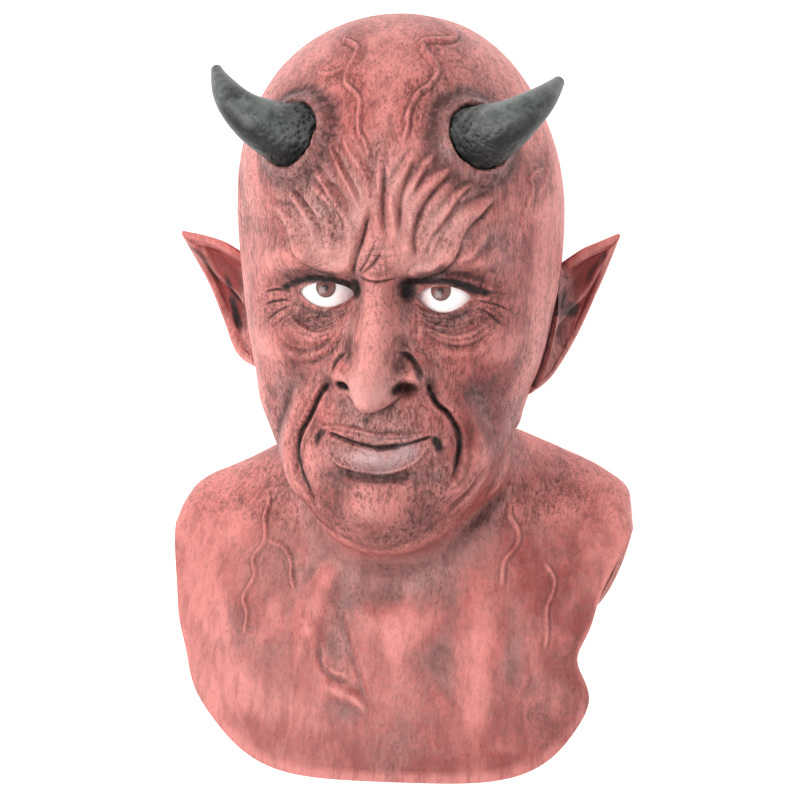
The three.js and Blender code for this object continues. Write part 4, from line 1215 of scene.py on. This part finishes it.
def patch_mask(patches):
    """Bells over the patches, joined as 1 - (1 - a)(1 - b), so that none goes over 1."""
    bare_share = np.ones(len(patch_x))
    for at_x, at_y, half_x, half_y, strength in patches:
        bare_share *= 1 - strength * bell(np.hypot((patch_x - at_x) / half_x, (patch_y - at_y) / half_y))
    return 1 - bare_share


def line_mask(p, lines):
    """The darkest line at each point; a line grows from a third of its width at its ends."""
    flat = p[:, :2] + 0.4 * np.stack([cloud(p, 4, 25), cloud(p, 4, 26)], -1)
    found = np.zeros(len(p))
    for wide, strength, path in lines:
        near, run = along_line(flat, path, 3 * wide)
        taper = smooth(0, min(5.0, 0.5 * run.max() + 0.01), run)
        here = wide * (0.35 + 0.65 * taper)
        shape = smooth(1.4, 0.5, near / here)
        found = np.maximum(found, strength * (0.3 + 0.7 * taper) * shape)
    return found


patch_x, patch_y = wandering(skin_points)
print("grey covers", round(100 * float(patch_mask(GREY).mean())), "percent")

# %% Masks from sockets, nostrils and lids
NOSTRIL_Z = 97.0  # how far out the openings lie


def socket_mask(p, inner_edge, outer_edge):
    """A ring of paint round the foot of each horn."""
    found = np.zeros(len(p))
    for side in SIDES:
        height, away = horn_distance(p, side)
        away = away + 2.5 * cloud(p, 8, 27)
        ring = 1 - smooth(inner_edge, outer_edge, away)
        found = np.maximum(found, ring * (np.abs(height) < 24))
    return found


def nostril_shade_mask(p):
    """Painted shade inside the nostrils, which open downward under the wings."""
    found = np.zeros(len(p))
    for at, size, _, _ in NOSTRILS:
        off = (p - (*at, NOSTRIL_Z)) / (size[0] + 0.4, size[1], 13)
        found = np.maximum(found, smooth(1.35, 0.8, length(off)))
    return found


def lid_mask(p, normals):
    """The cut edges of the lids: nearly black over the eye and a thin line under it."""
    found = np.zeros(len(p))
    cut = smooth(0.85, 0.45, normals[:, 2])
    for side in SIDES:
        off = p[:, :2] - (side["sign"] * side["eye"][0], side["eye"][1])
        near = (length(off / (17, 10)) < 1) & (p[:, 2] > 55)
        found = np.maximum(found, near * cut * np.where(off[:, 1] > 1, 1.0, 0.55))
    return found


print("nostrils take", int((nostril_shade_mask(skin_points) > 0.5).sum()), "points")

# %% Where a coat may go: the front, the chest, the ears
x, y, z = skin_points.T
frontal = skin_normals[:, 2]
facing = smooth(-0.15, 0.25, frontal) * smooth(-34, -9, z)
chest = smooth(-60, -75, y)
front_only = np.maximum(facing, chest * smooth(0, 0.3, frontal))
ear_front = (np.abs(x) > mix(92, 86, smooth(-1, -4, z))) * smooth(-0.05, 0.25, frontal)
ear_side = smooth(90, 97, np.abs(x)) * (y > -5)
# dark wash in the fine creases, and painted shade in the broad hollows
crease = smooth(0.08, 0.45, fine_hollow) * 0.85 + smooth(0.5, 2.0, wide_hollow) * 0.3
# how far a point stands out, for the dry brush that is also a painted highlight
raised = 0.8 * smooth(0.06, 0.4, -fine_hollow) + 0.7 * smooth(0.7, 2.4, -wide_hollow)
clean = patch_mask(CLEAN)
print("the front is", round(100 * float(front_only.mean())), "percent of the skin")

# %% Masks of the skin
masks = {
    # dark wash in the creases, with painted shade in the broad hollows
    "wash": np.clip(crease * mix(0.55, 1, front_only) * (1 - 0.45 * chest), 0, 1) * (1 - 0.6 * clean),
    # near-black lines, some of them painted shadow, and painted shade inside the nostrils
    "ink": np.maximum.reduce([
        line_mask(skin_points, INK_AND_SHADOW) * front_only,
        line_mask(skin_points, EAR_INK) * ear_front,
        nostril_shade_mask(skin_points),
        lid_mask(skin_points, skin_normals),
        0.9 * socket_mask(skin_points, 17.4, 18.8),
    ]),
    "veil": smooth(0.15, 1.1, wide_hollow) * front_only * (1 - ear_side),
    "worn": mix(1.0, 0.3, chest) * (1 - 0.6 * ear_side) * (1 - 0.8 * clean),
    "clean": clean * front_only,
    # dry brush of light pink on what stands out, which is also a painted highlight
    "high": (
        np.clip(raised, 0, 1)
        * (1 - 0.85 * socket_mask(skin_points, 21, 28))
        * (1 - patch_mask(DULL))
    ),
    # smoky paint, painted shadow from the patches, a dark ring round each horn's collar, and a darker
    # chest
    "dusk": np.maximum(
        patch_mask(SMOKE_AND_SHADE) * front_only + 0.2 * chest,
        0.9 * (socket_mask(skin_points, 25, 33) - socket_mask(skin_points, 20.5, 23.5)),
    ),
    "bags": patch_mask(BAGS) * front_only,
    "grey": np.maximum(patch_mask(GREY) * front_only, 0.95 * socket_mask(skin_points, 20, 31)),
    "red": np.maximum.reduce([
        patch_mask(RED),
        0.5 * (1 - facing) * (1 - chest),
        1.6 * ear_side * smooth(0.1, 0.7, wide_hollow),
    ]),
    "coral": patch_mask(CORAL) * front_only,
    "lips": patch_mask(LIPS) * front_only,
}


def store(mesh, values):
    """One float attribute per mask, which the material reads by name."""
    for name, mask in values.items():
        attribute = mesh.attributes.new(name, "FLOAT", "POINT")
        attribute.data.foreach_set("value", mask.astype(np.float32))


store(skin.data, masks)
skin.data.set_sharp_from_angle(angle=math.radians(55))
print("masks:", {name: round(float(mask.mean()), 3) for name, mask in masks.items()})

# %% [markdown]
# ## Materials
# Colours are given as a painter's screen values and turned into the linear ones that light works
# with. Two effects are shared: mottling, a stretched noise pushed to contrast, and skin grain, which
# becomes a normal. Each is a node group that a material places with its own values.


# %% Screen colours
def tint(red, green, blue):
    """A screen colour of 0 to 255 as linear light."""
    c = np.array([red, green, blue]) / 255
    linear = np.where(c <= 0.04045, c / 12.92, ((c + 0.055) / 1.055) ** 2.4)
    return (*linear.tolist(), 1.0)


print("salmon is", [round(c, 3) for c in tint(224, 132, 126)[:3]], "in linear light")


# %% Helpers for node trees
class Tree:
    """Adds nodes and joins them: a value that is a socket becomes a link, any other is set."""

    def __init__(self, tree):
        self.tree = tree

    def add(self, kind, inputs=None, **settings):
        """A new node of a kind, with its settings and its inputs"""
        node = self.tree.nodes.new(kind)
        for name, value in settings.items():
            setattr(node, name, value)
        for name, value in (inputs or {}).items():
            self.put(node, name, value)
        return node

    def put(self, node, name, value):
        """Link the input when the value is a socket, else set it"""
        if isinstance(value, bpy.types.NodeSocket):
            self.tree.links.new(value, node.inputs[name])
        else:
            node.inputs[name].default_value = value

    def math(self, operation, a, b=0.0, clamp=False):
        """One sum, product or other operation of two values"""
        node = self.add("ShaderNodeMath", operation=operation, use_clamp=clamp)
        self.put(node, 0, a)
        self.put(node, 1, b)
        return node.outputs[0]

    def scaled(self, value, factor, start=0.0):
        """start + factor * value"""
        node = self.add("ShaderNodeMath", {1: factor, 2: start}, operation="MULTIPLY_ADD")
        self.put(node, 0, value)
        return node.outputs[0]

    def product(self, a, b):
        """a * b, held between 0 and 1"""
        return self.math("MULTIPLY", a, b, clamp=True)

    def blend(self, factor, a, b):
        """Colour a at factor 0 and colour b at factor 1"""
        node = self.add("ShaderNodeMix", data_type="RGBA")
        self.put(node, 0, factor)
        self.put(node, 6, a)
        self.put(node, 7, b)
        return node.outputs[2]

    def lines(self, value):
        """A line along the middle of each soft edge: 4 v (1 - v)"""
        rest = self.math("SUBTRACT", 1.0, value)
        return self.math("MULTIPLY", self.math("MULTIPLY", value, rest), 4.0)

    def group(self, group, **inputs):
        """One of the shared groups, placed with values of its own"""
        node = self.add("ShaderNodeGroup")
        node.node_tree = group
        for name, value in inputs.items():
            self.put(node, name.replace("_", " "), value)
        return node.outputs[0]

    def mask(self, name):
        """A mask stored on the mesh"""
        return self.add("ShaderNodeAttribute", attribute_name=name).outputs["Fac"]


print("a tree can", [name for name in vars(Tree) if not name.startswith("_")])


# %% Start a group and a material
def new_group(name, inputs, output, output_type):
    """A node group with named inputs and their first values, and one output."""
    group = bpy.data.node_groups.new(name, "ShaderNodeTree")
    for label, kind, value in inputs:
        socket = group.interface.new_socket(label, in_out="INPUT", socket_type=kind)
        socket.default_value = value
    group.interface.new_socket(output, in_out="OUTPUT", socket_type=output_type)
    tree = Tree(group)
    return group, tree, tree.add("NodeGroupInput"), tree.add("NodeGroupOutput")


def start_material(name, **principled):
    """A material with its surface shader's values, its tree and that shader."""
    material = bpy.data.materials.new(name)
    material.use_nodes = True
    tree = Tree(material.node_tree)
    shader = material.node_tree.nodes["Principled BSDF"]
    for label, value in principled.items():
        shader.inputs[label.replace("_", " ")].default_value = value
    return material, tree, shader


print("every surface is a", bpy.types.ShaderNodeBsdfPrincipled.bl_rna.name)


# %% Shared effect: mottling
def make_mottling():
    """Noise on the object's own place, stretched, warped and pushed between two levels.

    Low and below become 0, and high and above become 1.
    """
    inputs = [
        ("Scale", "NodeSocketFloat", 60.0),
        ("Stretch", "NodeSocketVector", (1.0, 1.0, 1.0)),
        ("Low", "NodeSocketFloat", 0.4),
        ("High", "NodeSocketFloat", 0.6),
    ]
    group, tree, given, result = new_group("mottling", inputs, "Mask", "NodeSocketFloat")
    place = tree.add("ShaderNodeTexCoord").outputs["Object"]
    stretched = tree.add("ShaderNodeVectorMath", operation="MULTIPLY")
    tree.put(stretched, 0, place)
    tree.put(stretched, 1, given.outputs["Stretch"])
    noise = tree.add("ShaderNodeTexNoise", {
        "Vector": stretched.outputs[0],
        "Scale": given.outputs["Scale"],
        "Detail": 5.0,
        "Roughness": 0.6,
        "Distortion": 0.6,
    })
    level = tree.add("ShaderNodeMapRange", {
        "Value": noise.outputs["Fac"],
        "From Min": given.outputs["Low"],
        "From Max": given.outputs["High"],
    })
    tree.put(result, "Mask", level.outputs["Result"])
    return group


mottling = make_mottling()
print("mottling has", len(mottling.nodes), "nodes")


# %% Shared effect: grain
def make_grain():
    """Pores and brush marks as a normal: 0.6 times the cells' distance plus a fine noise, as a height."""
    inputs = [
        ("Scale", "NodeSocketFloat", 700.0),
        ("Strength", "NodeSocketFloat", 0.3),
        ("Depth", "NodeSocketFloat", 0.0004),
    ]
    group, tree, given, result = new_group("grain", inputs, "Normal", "NodeSocketVector")
    place = tree.add("ShaderNodeTexCoord").outputs["Object"]
    scale = given.outputs["Scale"]
    pores = tree.add("ShaderNodeTexVoronoi", {"Vector": place, "Scale": scale})
    fibre = {"Vector": place, "Scale": scale, "Detail": 6.0, "Roughness": 0.7}
    brush = tree.add("ShaderNodeTexNoise", fibre)
    deep = tree.math("MULTIPLY", pores.outputs["Distance"], 0.6)
    bump = tree.add("ShaderNodeBump", {
        "Strength": given.outputs["Strength"],
        "Distance": given.outputs["Depth"],
        "Height": tree.math("ADD", deep, brush.outputs["Fac"]),
    })
    tree.put(result, "Normal", bump.outputs["Normal"])
    return group


grain = make_grain()
print("node groups:", [group.name for group in bpy.data.node_groups])

# %% [markdown]
# ## The painted latex
# The order of the layers is the painter's own: a salmon base with redder mottling, deep red clouds,
# grey veils, a dry brush of light pink over what stands out that is also a painted highlight, a dark
# wash in the creases with painted shade in the broad hollows, and at last near-black lines, some of
# them painted shadow. Every layer is broken up by noise, so that no edge is clean.

# %% Noises that break up the coats, and the coats in order
NOISES = dict(
    broad=dict(Scale=30.0, Low=0.42, High=0.6),
    cloudy=dict(Scale=17.0, Stretch=(1.3, 0.8, 1.0), Low=0.47, High=0.64),
    streak=dict(Scale=70.0, Stretch=(2.4, 0.5, 1.6), Low=0.46, High=0.62),
    fine=dict(Scale=260.0, Low=0.42, High=0.62),
    dust=dict(Scale=110.0, Stretch=(1.6, 0.6, 1.0), Low=0.5, High=0.64),
    speck=dict(Scale=420.0, Stretch=(1.5, 0.8, 1.0), Low=0.5, High=0.64),
    runs=dict(Scale=95.0, Stretch=(2.0, 0.4, 1.5), Low=0.475, High=0.525),
    wrinkles=dict(Scale=150.0, Stretch=(0.5, 2.0, 1.0), Low=0.45, High=0.54),
)
# of these two only the soft edges are used, as thin lines
LINED = ("runs", "wrinkles")
SALMON = (224, 132, 126)
REDDER = (190, 98, 94)
NEAR_BLACK = (26, 19, 19)
# what a coat follows, its strength and colour, and what breaks it up: by a factor, from a start
COATS = [
    ("streak", 0.55, (156, 76, 73)),
    ("cloudy", 0.55, (168, 124, 118)),
    ("fine", 0.4, (226, 156, 150)),
    ("red", 0.95, (150, 54, 52), "broad", 0.5, 0.5),
    ("coral", 0.75, (240, 140, 132), "dust", -0.5, 1.0),
    ("grey", 0.92, (146, 120, 117), "fine", 0.5, 0.55),
    ("veil", 0.6, (196, 146, 141)),
    ("clean", 0.5, (255, 182, 174)),
    ("dust", 1.0, (122, 66, 62), "worn", 0.5, 0.12),
    ("runs", 1.0, (112, 56, 53), "worn", 0.75, 0.0),
    # smoky paint and painted shadow
    ("dusk", 0.9, (78, 46, 44), "fine", 0.7, 0.5),
    # dry brush of light pink, also a painted highlight on the raised parts
    ("high", 0.75, (240, 152, 145), "streak", -0.5, 1.0),
    ("lips", 0.9, (190, 164, 166), "runs", -0.5, 1.0),
    ("clean", 0.4, (232, 184, 178)),
    # dark wash in the creases, and painted shade in the broad hollows
    ("wash", 0.85, (70, 40, 38), "fine", 0.4, 0.75),
    ("dots", 0.8, (84, 46, 44), "cloudy", 0.5, 0.5),
]
print(len(COATS), "coats over the salmon, then the near-black lines")


# %% Latex, painted outside
def make_painted_latex():
    """Each coat is blended over the ones before it, where its mask or noise lets it."""
    material, tree, shader = start_material("painted_latex", Roughness=0.5, Specular_IOR_Level=0.35)
    source = {name: tree.group(mottling, **values) for name, values in NOISES.items()}
    for name in LINED:
        source[name] = tree.lines(source[name])
    for name in masks:
        source[name] = tree.mask(name)
    dotted = tree.math("ADD", source["grey"], tree.scaled(source["worn"], 1.1))
    source["dots"] = tree.product(dotted, source["speck"])
    colour = tree.blend(source["broad"], tint(*SALMON), tint(*REDDER))
    for follows, strength, shade, *broken in COATS:
        amount = source[follows]
        if broken:
            name, factor, start = broken
            amount = tree.product(amount, tree.scaled(source[name], factor, start))
        colour = tree.blend(tree.scaled(amount, strength), colour, tint(*shade))
    folds = tree.product(source["bags"], source["wrinkles"])
    # near-black lines last, some of them painted shadow
    ink = tree.product(source["ink"], tree.scaled(source["fine"], 0.2, 0.9))
    ink = tree.math("MAXIMUM", ink, tree.scaled(folds, 0.75))
    tree.put(shader, "Base Color", tree.blend(ink, colour, tint(*NEAR_BLACK)))
    dull = tree.scaled(source["wash"], 0.2)
    tree.put(shader, "Roughness", tree.math("ADD", tree.scaled(source["fine"], 0.16, 0.44), dull))
    tree.put(shader, "Normal", tree.group(grain, Scale=800.0, Strength=0.5, Depth=0.0005))
    return material


painted_latex = make_painted_latex()
print("painted latex:", len(painted_latex.node_tree.nodes), "nodes")


# %% Latex, bare inside
def make_bare_latex():
    """Unpainted latex: two tones in clouds, and darker runs down the inside."""
    material, tree, shader = start_material("bare_latex", Roughness=0.62, Specular_IOR_Level=0.3)
    cloudy = tree.group(mottling, Scale=22.0, Low=0.3, High=0.75)
    runs = tree.group(mottling, Scale=90.0, Stretch=(1.0, 0.3, 1.0), Low=0.4, High=0.8)
    colour = tree.blend(cloudy, tint(214, 152, 140), tint(198, 126, 116))
    colour = tree.blend(tree.scaled(runs, 0.4), colour, tint(178, 104, 98))
    tree.put(shader, "Base Color", colour)
    tree.put(shader, "Normal", tree.group(grain, Scale=300.0, Strength=0.25, Depth=0.0006))
    return material


skin.data.materials.clear()
skin.data.materials.append(painted_latex)
skin.data.materials.append(make_bare_latex())
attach(skin, "root")
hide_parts("mask_skin")
print("skin slots:", [material.name for material in skin.data.materials])

# %% [markdown]
# ## Horn resin
# The horns are near black with a grey dry brush along them, blotched, satin and smooth toward the
# point, and black and pitted at the foot. Their undersides are darkened as painted shade.


# %% Horn resin, dry-brushed
def make_horn_resin():
    """Grey over near black, darkest underneath, which is painted shade, and at the foot, and black in the
    pits.
    """
    material, tree, shader = start_material("horn_resin", Roughness=0.4, Specular_IOR_Level=0.4)
    blotch = tree.group(mottling, Scale=60.0, Low=0.4, High=0.62)
    brushed = tree.group(mottling, Scale=230.0, Low=0.44, High=0.66)
    foot = tree.mask("foot")
    pit = tree.mask("pit")
    colour = tree.blend(blotch, tint(62, 66, 65), tint(104, 109, 106))
    colour = tree.blend(tree.scaled(brushed, 0.4), colour, tint(140, 144, 140))
    # painted shade: the underside of the horn darker
    colour = tree.blend(tree.scaled(tree.mask("under"), 0.85), colour, tint(30, 31, 31))
    # the foot near black, and darker still on its underside as painted shade
    black_foot_and_shade = tree.product(foot, tree.scaled(tree.mask("under"), 0.6, 0.4))
    colour = tree.blend(black_foot_and_shade, colour, tint(22, 22, 21))
    colour = tree.blend(tree.scaled(pit, 0.95), colour, tint(10, 10, 9))
    tree.put(shader, "Base Color", colour)
    rough = tree.math("ADD", tree.scaled(foot, 0.3, 0.34), tree.scaled(brushed, 0.12))
    tree.put(shader, "Roughness", rough)
    pitted = tree.scaled(foot, 0.7, 0.2)
    tree.put(shader, "Normal", tree.group(grain, Scale=650.0, Strength=pitted, Depth=0.0008))
    return material


horn_resin = make_horn_resin()
print("horn resin:", len(horn_resin.node_tree.nodes), "nodes")

# %% Horns in place
for side in SIDES:
    mesh = make_mesh(side["name"] + "_horn", *horns[side["name"]])
    piece = make_object(side["name"] + "_horn", mesh)
    points, normals, edges = read_mesh(mesh)
    height, _ = horn_distance(points, side)
    hollow = hollowness(points, normals, edges, 4)
    store(mesh, {
        "foot": 1 - smooth(4, 24, height + 6 * cloud(points, 7, 31)),
        "pit": smooth(0.02, 0.25, hollow) * (1 - smooth(6, 40, height)),
        # how far a point faces down, for painted shade on the underside
        "under": smooth(0.45, -0.55, normals[:, 1] + 0.25 * cloud(points, 9, 32)),
    })
    mesh.materials.append(horn_resin)
    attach(piece, "root")
    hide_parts("horn_" + side["name"])
print("horns:", [side["name"] for side in SIDES], "in", horn_resin.name)

# %% [markdown]
# ## Eyes
# Each eye is a glossy dome with a brown iris looking up at the camera, set a little high so that the
# upper lid cuts it. The iris bulges slightly, which gives it its catch-light.

# %% Shape of an eye
IRIS = {"left": (-29.3, 70.6), "right": (31.8, 69.6)}
IRIS_RADIUS = 5.3
IRIS_RISE = 0.8


def eye_rings(side):
    """Rings of the ball, cut flat behind, with a low dome raised over the iris."""
    centre = ball_centre(side)
    low = math.asin(-BALL["flat_back"] / BALL["radius"])
    rings = ball_rings(BALL["radius"], low, 90, 120)
    at = np.array(IRIS[side["name"]]) - centre[:2]
    away = np.hypot(rings[..., 0] - at[0], rings[..., 1] - at[1])
    rings[..., 2] += IRIS_RISE * bell(away / IRIS_RADIUS) * (rings[..., 2] > 0)
    return rings + centre


eyes = {side["name"]: tube(eye_rings(side)) for side in SIDES}
print("each eye has", len(eyes["left"][1]), "triangles")

# %% Glaze of the eyes, with a faint painted glow
# place on the ramp, which runs over 10 mm from the middle of the iris, and colour
IRIS_STOPS = [
    (0.14, (46, 30, 29)),
    (0.2, (112, 72, 66)),
    (0.42, (124, 84, 78)),
    (0.51, (70, 44, 42)),
    (0.55, (226, 214, 212)),
    (0.62, (250, 244, 243)),
]


def make_eye_glaze_and_glow():
    """Rings of colour by the distance from the middle of the iris, which also glow faintly as painted
    light.
    """
    material, tree, shader = start_material(
        "eye_glaze", Roughness=0.3, Specular_IOR_Level=0.4, Coat_Weight=0.35, Coat_Roughness=0.03
    )
    fibres = tree.group(mottling, Scale=420.0, Low=0.35, High=0.7)
    ramp = tree.add("ShaderNodeValToRGB", {"Fac": tree.math("DIVIDE", tree.mask("iris"), 10.0)})
    stops = ramp.color_ramp.elements
    stops[0].position, stops[0].color = 0.0, tint(38, 24, 24)
    stops[1].position, stops[1].color = 1.0, tint(250, 244, 243)
    for place, shade in IRIS_STOPS:
        stops.new(place).color = tint(*shade)
    veins = tree.math("MULTIPLY", tree.mask("corner"), tree.math("ADD", fibres, 0.4), clamp=True)
    colour = tree.blend(tree.math("MULTIPLY", veins, 0.5), ramp.outputs["Color"], tint(206, 120, 116))
    tree.put(shader, "Base Color", colour)
    # the colour also glows faintly, a painted brightening of the eyes
    tree.put(shader, "Emission Color", colour)
    shader.inputs["Emission Strength"].default_value = 0.2
    return material


eye_glaze = make_eye_glaze_and_glow()
print("eye glaze:", len(eye_glaze.node_tree.nodes), "nodes")

# %% Eyes in place
for side in SIDES:
    mesh = make_mesh(side["name"] + "_eye", *eyes[side["name"]])
    piece = make_object(side["name"] + "_eye", mesh)
    points, _, _ = read_mesh(mesh)
    iris = np.array(IRIS[side["name"]])
    inner_corner = np.array([side["sign"] * (side["eye"][0] - 15), side["eye"][1] - 2])
    store(mesh, {
        "iris": length(points[:, :2] - iris),
        "corner": 1 - smooth(2, 11, length(points[:, :2] - inner_corner)),
    })
    mesh.materials.append(eye_glaze)
    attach(piece, "root")
    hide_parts("eye_" + side["name"])
print("eyes:", [side["name"] for side in SIDES], "in", eye_glaze.name)

# %% [markdown]
# ## Floor and light
# A white floor, a large soft key high over the face and to the left, a weaker fill from the right,
# and an even pale sky: the light of a product picture.

# %% Floor
FLOOR_HALF = 4.0  # metres


def make_floor():
    """A square under the mask, lit a little by itself so that it stays white."""
    material, tree, shader = start_material("white_floor", Roughness=0.9, Specular_IOR_Level=0.1)
    shader.inputs["Base Color"].default_value = (0.93, 0.93, 0.93, 1)
    shader.inputs["Emission Color"].default_value = (1, 1, 1, 1)
    shader.inputs["Emission Strength"].default_value = 0.75
    corners = [(FLOOR_HALF * i, FLOOR_HALF * j, 0) for i, j in ((-1, -1), (1, -1), (1, 1), (-1, 1))]
    mesh = bpy.data.meshes.new("floor")
    mesh.from_pydata(corners, [], [(0, 1, 2, 3)])
    mesh.materials.append(material)
    floor = make_object("floor", mesh)
    return floor


floor = make_floor()
print("the floor is", 2 * FLOOR_HALF, "m wide")


# %% Lights
def soft_light(name, place, size, power, colour):
    """A square area light, turned to face the middle of the head."""
    data = bpy.data.lights.new(name, "AREA")
    data.size = size
    data.energy = power
    data.color = colour
    lamp = make_object(name, data)
    place = np.array(place)
    back = unit(place - MIDDLE / 1000)
    right = unit(np.cross([0.0, 1.0, 0.01], back))
    rows = np.column_stack([right, np.cross(back, right), back, place])
    lamp.matrix_world = Matrix([*rows.tolist(), [0, 0, 0, 1]])


soft_light("key", (-0.74, 0.08, 1.6), 1.0, 20.0, (1.0, 0.985, 0.975))
soft_light("fill", (1.2, 0.1, 1.3), 1.2, 2.5, (0.97, 0.98, 1.0))
world = bpy.data.worlds.new("studio")
world.use_nodes = True
world.node_tree.nodes["Background"].inputs["Color"].default_value = (1, 1, 1, 1)
world.node_tree.nodes["Background"].inputs["Strength"].default_value = 0.5
bpy.context.scene.world = world
bpy.context.scene.view_settings.view_transform = "Standard"
